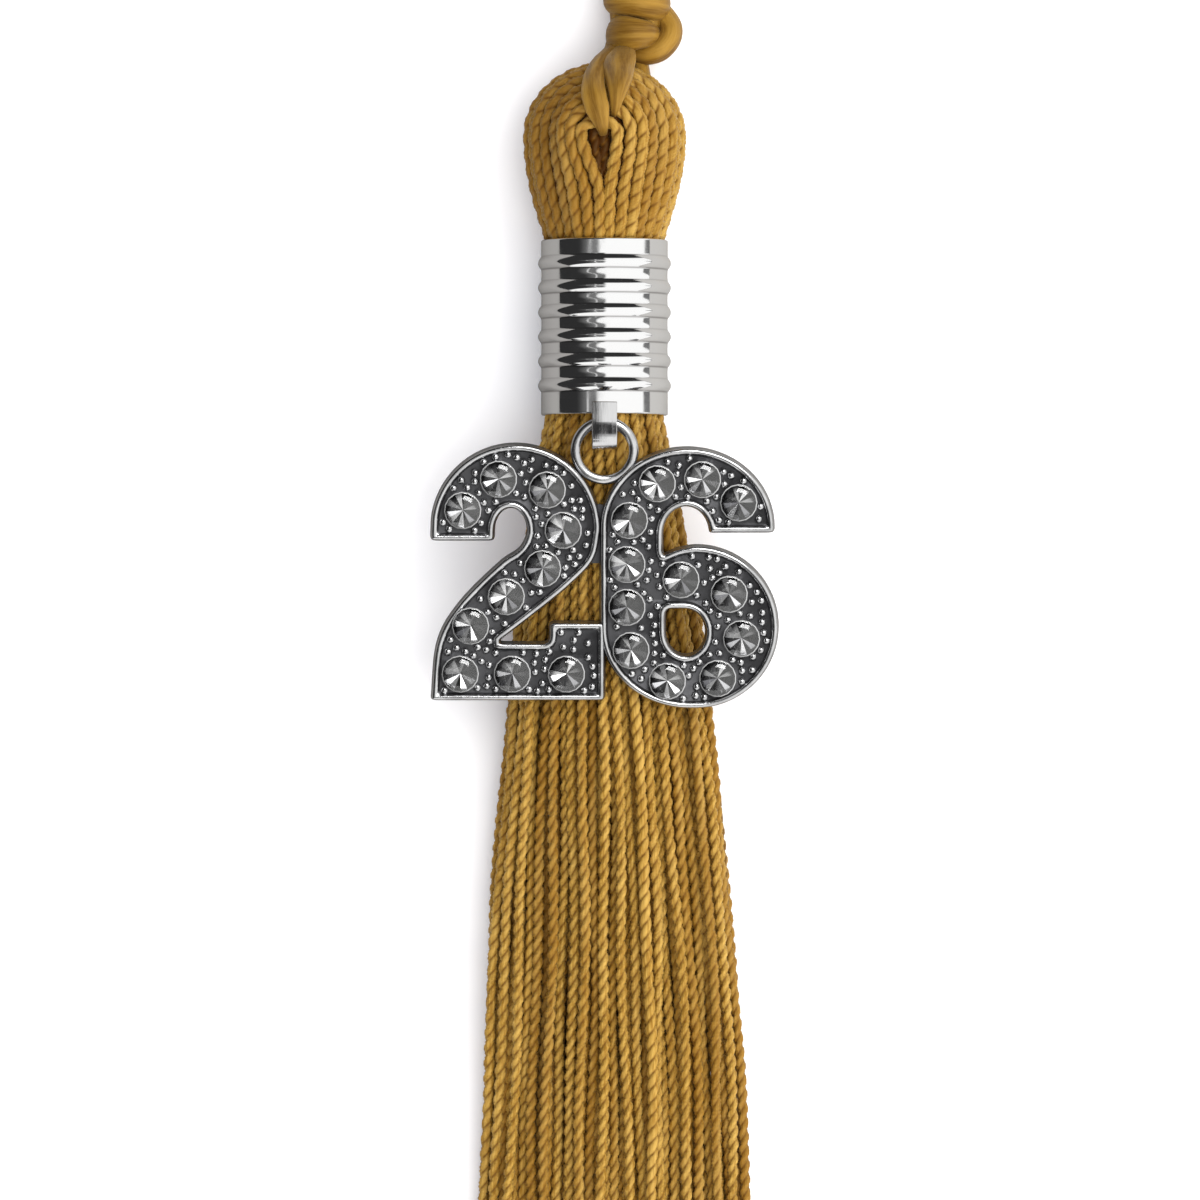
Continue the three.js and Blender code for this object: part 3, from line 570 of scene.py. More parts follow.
def head_paths(angles, inset, rings, slit=1.0, unevenness=0.0):
    """One arch for each angle, inset mm inside the head's skin. Its legs swell from the neck to the fold as
    a quarter sine, the collar's grip narrows their feet, and its crown is half an ellipse over the fold.
    With unevenness, each arch is turned and pressed in a little by chance."""
    chance = random.random((2, len(angles), 1)) - 0.5
    angle = np.asarray(angles)[:, None] + UNEVEN_ARCH.turned * unevenness * chance[0]
    inset = inset + UNEVEN_ARCH.pressed_in * unevenness * (chance[1] + 0.5)
    leg = HEAD.fold - HEAD.start
    crown = np.pi * (HEAD.half_width + HEAD.top - HEAD.fold) / 2
    run = np.linspace(0, 2 * leg + crown, rings)[None, :]
    up = np.clip(np.where(run < leg, run, 2 * leg + crown - run), 0, leg)
    over = np.clip((run - leg) / crown, 0, 1) * np.pi
    y = HEAD.start + up
    swell = np.sin(np.clip((y - HEAD.foot) / (HEAD.fold - HEAD.foot), 0, 1) * np.pi / 2)
    half_width = HEAD.neck + (HEAD.half_width - HEAD.neck) * swell - inset
    half_depth = HEAD.neck + (HEAD.half_depth - HEAD.neck) * swell - inset
    tight = 1 - GRIP.share * smoothstep((HEAD.foot - y) / GRIP.over)
    parting = smoothstep((y - SLIT.start) / (SLIT.end - SLIT.start))
    parting = parting * np.exp(-((angle / SLIT.reach) ** 2))
    x = -np.cos(over) * (half_width * tight * np.sin(angle) + slit * SLIT.half_width * parting)
    x = x + SLIT.middle * parting
    y = y + (HEAD.top - HEAD.fold - inset) * np.sin(np.abs(angle)) ** 0.7 * np.sin(over)
    z = AXIS_Z + half_depth * tight * np.cos(angle)
    return np.stack([x, y + 0 * x, np.maximum(z, LOWEST) + 0 * x], -1)


arch_angles = np.pi * (np.arange(ARCHES) + 0.5) / ARCHES
paths = head_paths(arch_angles, ROPE_RADIUS, 220, unevenness=1.0)
# painted shade: the head's cords are coloured darker towards its left side
painted_shade_on_left = 0.9 * smoothstep((1.5 - paths[..., 0]) / 7)
head = twisted_cords("head_cords", paths, ROPE_RADIUS, notch=0.36, lay=2.9, painted_shade=painted_shade_on_left)
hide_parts("yarn")
# the cords under the arches are coloured with the deep painted shade
paths = head_paths(np.pi * np.arange(ARCHES) / ARCHES + 0.02, 1.5, 100, slit=0.3)
under = twisted_cords("head_cords_under", paths, ROPE_RADIUS, painted_shade=DEEP_SHADE)
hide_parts("yarn")

# %% The middle of the head, coloured as deep painted shade


def head_core(inset, rows=24, rings=48):
    """A closed body inside the arches, made from the same arches as rows of a grid, with its feet joined
    to a point on the axis in the collar."""
    lines = head_paths(np.linspace(0.02, np.pi - 0.02, rows), inset, rings, slit=0.0)
    points = np.concatenate([lines.reshape(-1, 3), [(0, HEAD.start, AXIS_Z)]])
    index = np.arange(rows * rings).reshape(rows, rings)
    here, after = index[:-1], index[1:]
    skin = np.stack([here[:, :-1], here[:, 1:], after[:, 1:], after[:, :-1]], -1).reshape(-1, 4)
    tip = np.full(rows - 1, rows * rings)
    near_feet = np.stack([tip, here[:, 0], after[:, 0]], -1)
    far_feet = np.stack([tip, after[:, -1], here[:, -1]], -1)
    return points, [skin, near_feet, far_feet]


points, faces = head_core(1.9)
blank = np.zeros(len(points))
# painted shade: the core takes the deep shade value and notch brown all over, so the slit shows dark
values = {"fibre": points / 5, "notch_shade": blank + 0.75, "tone_and_shade": blank + DEEP_SHADE}
core = put_mesh("head_core", points, faces, "tassel", yarn, "yarn", **values)
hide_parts("yarn")

# %% [markdown]
# ## Knot and legs of the satin cord
#
# The satin cord goes round the fold with two legs that meet in a tight overhand knot. Each stretch of cord
# is a tube, flattened where it is pulled tight and narrowed where it dives into the yarn.

# %% Stretches of the knot


def stretch(name, table, count, reference):
    """A stretch of satin cord through the rows of a table of x, y, z, half size across and half size in
    depth. The last two follow the path from row to row."""
    table = np.array(table)
    path = smooth_line(table[:, :3], count)
    run = length_along(table[:, :3])
    where = length_along(path) / length_along(path)[-1] * run[-1]
    across, depth = (np.interp(where, run, table[:, k]) for k in (3, 4))
    piece = satin_cord(name, path, depth, across, reference)
    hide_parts("knot")


# columns: x, y, z, half size across, half size in depth
LEFT_LEG = [
    (1.2, 36, 3.6, 1, 0.9), (0.9, 34.9, 4.6, 1, 0.85), (0.4, 34.2, 6.6, 1, 0.8),
    (-0.2, 33.5, 8.8, 1, 0.75), (-0.7, 32.6, 10.9, 1, 0.75), (-1.05, 31.4, 13.1, 1.05, 0.8),
    (-1, 30, 14.5, 1.2, 0.8), (-0.65, 28.6, 15, 1.15, 0.75), (-0.35, 27.5, 14.9, 0.8, 0.65),
    (-0.2, 26.8, 14.1, 0.5, 0.5), (-0.1, 26.4, 12.6, 0.4, 0.4), (-0.05, 26.3, 10.5, 0.5, 0.5),
    (0, 26.3, 7, 0.8, 0.7), (0, 26.6, 4.2, 1, 0.7), (0.2, 28.2, 1.9, 1.2, 0.7),
    (0.5, 30.4, 0.85, 1.2, 0.7), (1.2, 32.6, 1.2, 1.2, 0.75), (2, 34.2, 2.4, 1.2, 0.8),
    (2.6, 35.6, 3.2, 1.2, 1),
]
RIGHT_LEG = [
    (1.9, 36, 3.8, 1.1, 0.9), (1.85, 34.9, 4.9, 1.1, 0.85), (1.7, 34.3, 6.9, 1.3, 0.8),
    (1.45, 33.6, 9.2, 1.55, 0.8), (1.3, 32.7, 11.3, 1.55, 0.85), (1.35, 31.6, 13, 1.3, 0.9),
    (1.25, 30.5, 14.1, 0.95, 0.85), (1.1, 29.5, 14.4, 0.65, 0.7), (0.95, 28.6, 13.9, 0.4, 0.5),
    (0.85, 28.1, 12.2, 0.35, 0.4),
]
LOBE = [
    (4.6, 39.4, 2.6, 1.2, 1.1), (5.6, 38.5, 2.8, 1.3, 1.1), (6.25, 37.3, 3.4, 1.25, 1.2),
    (6.15, 36.2, 4, 1.3, 1.2), (5.3, 35.15, 4.4, 1.25, 1.2), (4.2, 34.7, 4.4, 1, 1.1),
    (3.1, 34.8, 4, 0.7, 1), (2.4, 35.2, 3.6, 0.6, 0.9),
]
BACK_LEG = [
    (2.6, 35.4, 3.2, 0.9, 0.8), (3.3, 34, 3.4, 0.95, 0.8), (3.6, 32.6, 4.2, 0.85, 0.8),
    (3.5, 31.2, 5.6, 0.7, 0.7), (3.3, 29, 7.4, 0.6, 0.6),
]
stretch("left_leg_cord", LEFT_LEG, 130, (1, 0, 0))
stretch("right_leg_cord", RIGHT_LEG, 90, (1, 0, 0))
stretch("knot_lobe_cord", LOBE, 60, (0, 0, 1))
stretch("back_leg_cord", BACK_LEG, 30, (0, 0, 1))

# %% Wraps of the knot


def wrap(name, centre, radii, tilt_degrees, thickness, tall_left, tall_right, count=72):
    """A closed ring of satin cord round the knot's core: an oval in x and z, tilted in the picture. Its
    section is thickness deep, and its height along y goes from tall_left to tall_right."""
    angle = full_turn(count)
    tilt = np.radians(tilt_degrees)
    x = radii[0] * np.cos(angle)
    path = np.stack([x * np.cos(tilt), x * np.sin(tilt), -radii[1] * np.sin(angle)], -1) + np.array(centre)
    tall = tall_left + (tall_right - tall_left) * (1 + np.cos(angle)) / 2
    piece = satin_cord(name, path, thickness, tall, (0, 1, 0), closed_ring=True)
    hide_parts("knot")


wrap("knot_wrap_upper", (3.1, 39.7, 3.7), (1.85, 1.7), -5, 1.4, 1.5, 1.75)
wrap("knot_wrap_lower", (2.75, 36.45, 4.1), (1.2, 1.6), 2, 1.45, 1.95, 1.3)
# columns: distance from the knot's middle, y, z and the half size
STUB = [(1.0, 34.6, 3.4, 1.2), (1.2, 38.0, 3.4, 1.3), (1.4, 41.0, 3.4, 1.35), (1.39, 43.4, 3.2, 1.27)]
KNOT_MIDDLE = 3.05
for side, label in ((-1, "left"), (1, "right")):
    rows = [(KNOT_MIDDLE + side * x, y, z, half, half) for x, y, z, half in STUB]
    stretch(f"knot_stub_{label}", rows, 24, (0, 0, 1))

# %% [markdown]
# ## The collar
#
# The collar is a brass tube, plated with chrome, with six rolled beads. It is a surface of revolution: a
# closed profile of radius against length, turned round the axis. Chrome has no colour of its own, so what
# shows is the room: a dark side, a bright softbox and the table. Only the creases beside the beads are
# painted darker, as painted shade. The hook is a strip of the same sheet, brushed along its length, so it is
# duller.

# %% Chrome finish
chrome, tree = new_finish("chrome", Metallic=1.0, Roughness=0.06, Base_Color=(0.86, 0.86, 0.87, 1))
place = add_node("ShaderNodeTexCoord", {}, tree)["Object"]
# painted shade: the plating is coloured darker in the creases beside the beads
plating_with_crease_shade = mix_colour(stored(tree, "crease"), (0.86, 0.86, 0.87, 1), (0.36, 0.35, 0.35, 1))
hairlines = ranged(noise(place, 900.0, 3.0), 0.3, 0.8, 0.045, 0.13)
ripple = relief(noise(place, 260.0, 1.0), 0.05, 0.0002)
feed(chrome, Base_Color=plating_with_crease_shade, Roughness=hairlines, Normal=ripple)

# %% Brushed chrome finish for the hook
brushed, tree = new_finish("brushed_chrome", Metallic=1.0, Base_Color=(0.66, 0.66, 0.67, 1))
place = add_node("ShaderNodeTexCoord", {}, tree)["Object"]
stretched = {0: place, 1: (5200.0, 420.0, 420.0)}
drawn_out = add_node("ShaderNodeVectorMath", stretched, operation="MULTIPLY")["Vector"]
brushing = noise(drawn_out, 1.0, 3.0)
dull = ranged(brushing, 0.3, 0.7, 0.15, 0.28)
feed(brushed, Roughness=dull, Normal=relief(brushing, 0.2, 0.00004))

# %% Collar
BEADS = Sizes(count=6, pitch=2.33, top=14.46, width=1.25, rise=0.3, hollow=0.02)
WALL = 0.42
EDGE = 0.1  # how far the rims are rounded off
# the painted shade of the creases beside each bead
CREASES = [(1.0, -0.62, 0.075), (0.4, 0.62, 0.06)]  # darkness, place beside the bead's middle, width


def collar_profile():
    """Radius and length of the collar's skin, up the outside over the beads and down the inside, and how much
    painted shade each point gets from the creases. A bead's bulge is half a wave of a cosine."""
    y = np.linspace(EDGE, COLLAR_LENGTH - EDGE, 230)
    middles = BEADS.top - BEADS.pitch * np.arange(BEADS.count)
    offset = y - middles[np.abs(y[:, None] - middles).argmin(axis=1)]
    nearest = np.abs(offset)
    crease = sum(dark * np.exp(-(((offset - at) / width) ** 2)) for dark, at, width in CREASES)
    bulge = BEADS.rise * np.cos(np.clip(nearest / BEADS.width, 0, 0.5) * np.pi)
    between = (y > middles[-1]) & (y < middles[0])
    bulge = bulge - between * BEADS.hollow * np.clip(np.sin((nearest - 0.6) / 1.13 * np.pi), 0, 1)
    rim, inside = COLLAR_RADIUS - EDGE, COLLAR_RADIUS - WALL
    upper_rim = [(rim, COLLAR_LENGTH), (inside + EDGE, COLLAR_LENGTH), (inside, COLLAR_LENGTH - EDGE)]
    lower_rim = [(inside, EDGE), (inside + EDGE, 0.0)]
    outside = np.stack([COLLAR_RADIUS + bulge, y], -1)
    profile = np.concatenate([[(rim, 0.0)], outside, upper_rim, lower_rim])
    return profile, np.concatenate([[0], crease, np.zeros(len(profile) - len(crease) - 1)])


profile, crease = collar_profile()
angle = full_turn(96)
outwards = np.stack([np.cos(angle), 0 * angle, -np.sin(angle)], -1)
sections = profile[:, :1] * outwards[:, None] + profile[:, 1:] * (0, 1, 0) + (0, 0, AXIS_Z)
collar = put_tubes("collar_tube", None, sections, "tassel", chrome, "chrome", closed_ring=True, crease=crease)
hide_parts("collar")

# %% Hook
SWING_AXIS = np.array([0.0, -0.79, AXIS_Z + COLLAR_RADIUS + 0.9])
HOOK = Sizes(width=2.35, roll=0.07)
# places y, z of the strip's middle line, counted from the collar's edge and from the swing axis
HOOK_LINE = [
    (0.8, -1.11), (-0.3, -1.11), (-1.3, -1.11), (-2.1, -1.06), (-2.72, -0.78), (-3.1, -0.3),
    (-3.24, 0.3), (-3.2, 0.95), (-3, 1.5), (-2.6, 1.8), (-2.15, 1.7), (-1.6, 1.44),
    (-1.1, 1.2), (-0.7, 1.07), (0, 1), (1.05, 0.8),
]


def rounded_strip(width, thickness, corner=0.09, steps=4):
    """Distances and angles of a rectangle's outline with rounded corners."""
    quarter = np.linspace(0, np.pi / 2, steps) + np.pi / 2 * np.arange(4)[:, None]
    centres = np.array([(1, 1), (-1, 1), (-1, -1), (1, -1)]) * (np.array([width, thickness]) / 2 - corner)
    outline = centres[:, None] + corner * np.stack([np.cos(quarter), np.sin(quarter)], -1)
    x, y = outline.reshape(-1, 2).T
    return np.hypot(x, y), np.arctan2(y, x)


# down from the collar, round through the ring and up in front of it, clear of its wire as it swings
strip_path = smooth_line([(0, y, SWING_AXIS[2] + z) for y, z in HOOK_LINE], 120)
reach, angle = rounded_strip(WALL, HOOK.width)
sections = carry(strip_path, reach, angle + HOOK.roll, (1, 0, 0))
hook = put_tubes("collar_hook", strip_path, sections, "tassel", brushed, "chrome")
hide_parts("collar")

# %% [markdown]
# ## The charm
#
# The charm is cast: two plain digits with a raised, polished rim round a dark sunken field. A digit's
# outline is put together from arcs and smooth stretches. Its rim is worked out from the same outline moved
# inwards by a growing distance, while the height follows the rim's round profile.

# %% Cast metal finish
cast, tree = new_finish("cast_metal", Metallic=1.0)
sunken = stored(tree, "recess")
place = add_node("ShaderNodeTexCoord", {}, tree)["Object"]
grains = noise(place, 2200.0, 4.0)
stains = noise(place, 420.0, 2.0)
metal = mix_colour(ranged(sunken, 0.05, 0.85), (0.66, 0.66, 0.67, 1), (0.095, 0.095, 0.1, 1))
metal = mix_colour(ranged(stains, 0.35, 0.75, 0.0, 0.35), metal, (0.09, 0.09, 0.093, 1))
rough = calculated("MULTIPLY_ADD", sunken, 0.4, ranged(grains, 0.3, 0.7, 0.1, 0.17))
feed(cast, Base_Color=metal, Roughness=rough, Normal=relief(grains, 0.2, 0.00005))

# %% Outlines of the digits
CHARM = Sizes(bottom=-27.2, back=-0.9, field=0.45, rim=0.85, tilt_degrees=4.5)


def arc(centre, radii, from_angle, to_angle, count=40):
    """Points on an ellipse between two angles, in degrees."""
    t = np.radians(np.linspace(from_angle, to_angle, count))
    return np.stack([centre[0] + radii[0] * np.cos(t), centre[1] + radii[1] * np.sin(t)], -1)


def curve(*places, count=40):
    """A smooth stretch through places in the plane."""
    return smooth_line([(x, y, 0) for x, y in places], count)[:, :2]


def evenly(*pieces, spacing=0.3):
    """The pieces joined end to end into one closed outline, with no edge longer than the spacing. Then each
    point moves towards the mean of its neighbours three times, which rounds the corners as in a casting."""
    points = np.concatenate([np.atleast_2d(p) for p in pieces])
    points = points[np.linalg.norm(points - np.roll(points, 1, axis=0), axis=1) > 1e-4]
    out = []
    for here, ahead in zip(points, np.roll(points, -1, axis=0)):
        steps = max(1, int(np.ceil(np.linalg.norm(ahead - here) / spacing)))
        out.append(here + (ahead - here) * (np.arange(steps) / steps)[:, None])
    out = np.concatenate(out)
    for _ in range(3):
        out = 0.5 * out + 0.25 * (np.roll(out, 1, axis=0) + np.roll(out, -1, axis=0))
    return out


two_outline = evenly(
    (-16.5, 15.9),
    (-10.35, 15.9),
    arc((-8.85, 16.9), (1.5, 2.1), 180, 0),
    curve(
        (-7.35, 16.8), (-7.65, 15.9), (-8.3, 15.1), (-9.99, 13.95), (-13.8, 10.13), (-15.9, 6.4),
        (-16.5, 0.75), count=90,
    ),
    (0.1, 0.75),
    (0.1, 8.35),
    (-5.25, 8.35),
    (-5.25, 6.4),
    curve((-10.0, 6.4), (-6.85, 8.79), (-3.27, 11.7), (-0.95, 14.2), (-0.3, 17.0)),
    arc((-8.4, 17.0), (8.1, 8.2), 0, 172),
)
six_outline = evenly(
    (9.85, 16.65),
    (16.1, 16.65),
    arc((7.8, 17.2), (8.3, 7.65), 0, 180),
    arc((8.0, 7.8), (8.5, 7.8), 180, 270),
    arc((8.6, 7.8), (7.9, 7.8), 270, 450),
    curve((8.3, 15.58), (6.9, 15.3), (5.55, 14.75)),
    arc((7.7, 16.65), (2.15, 2.5), 180, 1),
)
counter_outline = evenly((5.81, 9.46), arc((7.66, 7.33), (1.85, 2.13), 90, -180))
print("points in the outlines:", len(two_outline), len(six_outline), len(counter_outline))

# %% Moving an outline inwards


def turning(outline):
    """1 for a closed outline that runs anticlockwise and -1 for one that runs clockwise."""
    x, y = outline.T
    return np.sign((x * np.roll(y, -1) - np.roll(x, -1) * y).sum())


def distance_to_outline(places, outline):
    """The distance of each place to the nearest stretch of a closed outline."""
    start, along = outline, np.roll(outline, -1, axis=0) - outline
    offset = places[:, None] - start[None]
    t = np.clip((offset * along).sum(-1) / (along**2).sum(-1), 0, 1)
    return np.linalg.norm(offset - t[..., None] * along, axis=-1).min(axis=1)


def moved(outline, inwards):
    """The outline with each point moved along the mitre of its two edges. A point that comes nearer to the
    outline than that, beside a sharp corner, takes the place of the nearest good one."""
    edge = unit(np.roll(outline, -1, axis=0) - outline)
    normal = turning(outline) * np.stack([-edge[:, 1], edge[:, 0]], -1)
    before = np.roll(normal, 1, axis=0)
    mitre = (normal + before) / (1 + (normal * before).sum(-1, keepdims=True))
    out = outline + inwards * mitre
    if inwards == 0:
        return out
    good = distance_to_outline(out, outline) > 0.985 * abs(inwards)
    index = np.arange(len(outline))
    gap = np.abs(index[:, None] - index[None, good])
    gap = np.minimum(gap, len(outline) - gap)
    return out[index[good][gap.argmin(axis=1)]]


# %% A digit's body
RIM = Sizes(middle=0.42, radius=0.27, height=0.62)


def rim_profile():
    """How far in, how high and how sunken the rim's skin is: up the drafted outer wall, over a half round
    crest and down to the field."""
    over = np.linspace(0, np.pi, 9)
    inwards = RIM.middle - RIM.radius * np.cos(over)
    height = RIM.height + RIM.radius * np.sin(over)
    crest = np.stack([inwards, height, 0.5 - 0.5 * np.sin(over)], -1)
    wall = [(0.05, CHARM.back, 0.9), (0.0, CHARM.back + 0.08, 0.7)]
    foot = [(CHARM.rim - 0.06, CHARM.field + 0.05, 0.9), (CHARM.rim, CHARM.field, 1.0)]
    return np.concatenate([wall, crest, foot])


def in_charm(points):
    """From the digits' own flat coordinates to millimetres from the collar's edge. The charm hangs from its
    swing axis and tilts back by a few degrees, as it lies on the skirt."""
    x, y, z = np.moveaxis(np.asarray(points, float), -1, 0)
    y = y + CHARM.bottom
    tilt = np.radians(CHARM.tilt_degrees)
    up, out = y * np.cos(tilt) - z * np.sin(tilt), y * np.sin(tilt) + z * np.cos(tilt)
    return np.stack([x, up, out], -1) + SWING_AXIS


def filled(loops, upwards):
    """Triangles over the area between an outer loop and its holes, facing up or down."""
    triangles = np.array(tessellate_polygon([[Vector((x, y, 0)) for x, y in loop] for loop in loops]))
    points = np.concatenate(loops)
    a, b, c = (points[triangles[:, k]] for k in range(3))
    facing = (b[:, 0] - a[:, 0]) * (c[:, 1] - a[:, 1]) - (b[:, 1] - a[:, 1]) * (c[:, 0] - a[:, 0])
    wrong = (facing > 0) != upwards
    triangles[wrong] = triangles[wrong][:, ::-1]
    return triangles[np.abs(facing) > 1e-9]


def digit_body(name, *outlines):
    """A digit with its rims, from its outer outline and those of its holes. Each outline, moved in by the
    profile's distances, gives the rings of a wall. The last rings and the first ones are filled."""
    inwards, heights, sunken = rim_profile().T
    walls, indices, faces, first = [], [], [], 0
    for outline, sign in zip(outlines, (1, -1)):
        walls.append(np.stack([moved(outline, sign * step) for step in inwards]))
        index = first + np.arange(len(inwards) * len(outline)).reshape(len(inwards), -1)
        quads = band(index[:-1], index[1:])
        faces.append(quads if turning(outline) == sign else quads[:, ::-1])
        indices.append(index)
        first += index.size
    for end, upwards in ((-1, True), (0, False)):
        corners = np.concatenate([index[end] for index in indices])
        faces.append(corners[filled([rings[end] for rings in walls], upwards)])
    flat = np.concatenate([rings.reshape(-1, 2) for rings in walls])
    level = np.concatenate([np.repeat(np.arange(len(inwards)), index.shape[1]) for index in indices])
    points = in_charm(np.column_stack([flat, heights[level]]))
    piece = put_mesh(name, points, faces, "number_charm", cast, "cast_metal", recess=sunken[level])
    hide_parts("charm")


digit_body("charm_two", two_outline)
digit_body("charm_six", six_outline, counter_outline)

# %% Web that joins the digits
web_outline = np.array([(-1.7, 13.8), (0.3, 13.8), (0.3, 19.2), (-0.5, 19.4), (-1.7, 19.0)])
points = np.concatenate([np.column_stack([web_outline, np.full(5, z)]) for z in (-0.35, CHARM.back)])
front, back = np.arange(10).reshape(2, 5)
faces = [band(back, front), front[None], back[None, ::-1]]
values = {"smooth": False, "recess": np.ones(10)}
web = put_mesh("charm_web", in_charm(points), faces, "number_charm", cast, "cast_metal", **values)
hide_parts("charm")

# %% Ring of the charm
RING = Sizes(mean=2.73, wire=0.49)
angle = full_turn(64)
across, along = RING.mean * np.cos(angle), RING.mean * np.sin(angle)
ring_path = np.stack([across, -RING.mean - CHARM.bottom + along, 0 * angle], -1)
turn = full_turn(16)
sections = in_charm(carry(ring_path, RING.wire, turn, (0, 0, 1), closed_ring=True))
ring = put_tubes("charm_ring", None, sections, "number_charm", cast, "cast_metal", True, recess=0.12)
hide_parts("charm")

# %% [markdown]
# ### Stones
#
# Each stone is a round crystal with a foiled back, set in a low cup: a shallow dome of clear glass over a
# cone of sixteen mirrored faces, which are not all equally steep. The mirrors, seen through the glass, make
# the light and dark wedges. Each mirror is also given its own brightness by chance, a painted reflection.

# %% Where the stones sit
STONES = np.array(
    [
        (-13.36, 18.88), (-9.99, 21.83), (-5.4, 20.82), (-3.9, 17.01), (-5.84, 13.39), (-9.27, 10.74),
        (-12.64, 7.96), (-13.62, 3.41), (-8.71, 3.41), (-3.6, 3.41),
        (12.64, 19.6), (9.22, 21.79), (4.96, 21.41), (2.34, 17.94), (2.11, 13.78), (2.11, 9.73),
        (2.5, 5.65), (5.93, 2.74), (10.68, 3.0), (12.92, 6.77), (11.75, 10.96), (7.2, 12.33),
    ]
)
STONE = Sizes(radius=1.66, cup=1.76, girdle=1.12, top=1.5, point=0.56, foot=0.4)

# %% Glass and foil
# The glass is a mirror that lets through what it doesn't reflect, and it reflects most at its edges.
glass, tree = new_finish("crystal_glass", Base_Color=(1, 1, 1, 1), Metallic=1.0, Roughness=0.09)
glancing = add_node("ShaderNodeLayerWeight", {"Blend": 0.22}, tree)["Fresnel"]
feed(glass, Alpha=ranged(glancing, 0.0, 1.0, 0.1, 1.0))
foil, tree = new_finish("foil", Metallic=1.0, Roughness=0.2)
# painted reflection: each mirror's colour is darker or brighter by its own chance value
feed(foil, Base_Color=mix_colour(stored(tree, "facet"), (0.03, 0.03, 0.032, 1), (0.8, 0.8, 0.81, 1)))

# %% One stone, repeated
SIDES = 16


def level_ring(radius, height, turn):
    """A ring of points at these angles, at one height or at one for each."""
    return np.stack([radius * np.cos(turn), radius * np.sin(turn), height + 0 * turn], -1)


def repeated(faces, times, size):
    """The faces of a shape of this many points, for each of its copies."""
    return (np.arange(times)[:, None, None] * size + faces).reshape(-1, faces.shape[1])


def stone_shape():
    """Points and faces of one stone: five rings of the dome, which follow height = 1 - (r / R) ** 4, two of
    the cup, and the mirrored cone from the girdle to the point. Every other corner of the cone is a little
    lower, and its faces share no points, so that each can have its own painted brightness."""
    turn = full_turn(SIDES)
    girdle, rise = STONE.girdle, STONE.top - STONE.girdle
    shares = (1.0, 0.94, 0.82, 0.62, 0.32)
    dome = [level_ring(STONE.radius * share, girdle + rise * (1 - share**4), turn) for share in shares]
    cup = [level_ring(STONE.cup, height, turn) for height in (girdle - 0.005, STONE.foot)]
    edge = level_ring(STONE.radius, girdle - 0.02 - 0.2 * (np.arange(SIDES) % 2), turn)
    cone = np.stack([edge, np.roll(edge, -1, axis=0), 0 * edge + (0, 0, STONE.point)], 1).reshape(-1, 3)
    points = np.concatenate([*dome, *cup, cone, [(0, 0, STONE.top), (0, 0, STONE.foot)]])
    index = np.arange(7 * SIDES).reshape(7, SIDES)
    dome_bands, cup_bands = band(index[:4], index[1:5]), band(index[[5, 6]], index[[0, 5]])
    crown, under = fan(index[4], len(points) - 2), fan(index[6, ::-1], len(points) - 1)
    mirrors = 7 * SIDES + np.arange(3 * SIDES).reshape(SIDES, 3)
    glass_faces = np.concatenate([dome_bands[:, :3], dome_bands[:, [0, 2, 3]], crown])
    return points, glass_faces, np.concatenate([mirrors, cup_bands[:, :3], cup_bands[:, [0, 2, 3]], under])


points, glass_faces, foil_faces = stone_shape()
count = len(STONES)
turns = random.random(count) * 2 * np.pi
cos, sin = np.cos(turns)[:, None], np.sin(turns)[:, None]
x = points[:, 0] * cos - points[:, 1] * sin + STONES[:, :1]
y = points[:, 0] * sin + points[:, 1] * cos + STONES[:, 1:]
placed = in_charm(np.stack([x, y, np.broadcast_to(points[:, 2], x.shape)], -1).reshape(-1, 3))
faces = [repeated(part, count, len(points)) for part in (glass_faces, foil_faces)]
facet = np.full((count, len(points)), 0.8)
# painted reflection: each mirror of the cone gets a random brightness
facet[:, 7 * SIDES : 10 * SIDES] = np.repeat(random.random((count, SIDES)) ** 3, 3, axis=1)
stones = put_mesh("stones", placed, faces, "number_charm", glass, "crystal", facet=facet.ravel())
stones.data.materials.append(foil)
is_foil = np.repeat([0, 1], [len(part) for part in faces]).astype(np.int32)
stones.data.polygons.foreach_set("material_index", is_foil)
stones.data.polygons.foreach_set("use_smooth", is_foil == 0)
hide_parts(*[name for name in frame["nodes"] if name.startswith("stone_")])

# %% [markdown]
# ### Pellets
#
# The field between the stones is covered with small cast pellets. They are scattered at random and a new
# one is kept only where it is clear of the rims, the stones and the pellets already there.

# %% Scatter the pellets
PELLET = Sizes(radius=0.41, height=0.42, spacing=0.8, tries=16000)
OVERLAP = Sizes(stone=0.1, rim=0.24)  # how far a pellet may reach under a stone's cup and up a rim


def inside(places, outline):
    """Whether each place is inside a closed outline: a ray to its right crosses an odd number of edges."""
    x, y = places.T
    x1, y1 = outline.T
    x2, y2 = np.roll(outline, -1, axis=0).T
    crosses = (y1 > y[:, None]) != (y2 > y[:, None])
    at = x1 + (y[:, None] - y1) * (x2 - x1) / np.where(y2 == y1, 1e-9, y2 - y1)
    return (crosses & (at > x[:, None])).sum(axis=1) % 2 == 1


tries = random.uniform((-16.5, 0), (16.5, 25.2), (PELLET.tries, 2))
in_two = inside(tries, two_outline)
in_six = inside(tries, six_outline) & ~inside(tries, counter_outline)
from_stones = np.linalg.norm(tries[:, None] - STONES[None], axis=-1).min(axis=1)
good = tries[(in_two | in_six) & (from_stones > STONE.cup + PELLET.radius - OVERLAP.stone)]
from_rims = [distance_to_outline(good, outline) for outline in (two_outline, six_outline, counter_outline)]
good = good[np.min(from_rims, axis=0) > CHARM.rim + PELLET.radius - OVERLAP.rim]
pellets = good[:1]
for place in good[1:]:
    if np.linalg.norm(pellets - place, axis=1).min() > PELLET.spacing:
        pellets = np.concatenate([pellets, place[None]])
print("pellets:", len(pellets))

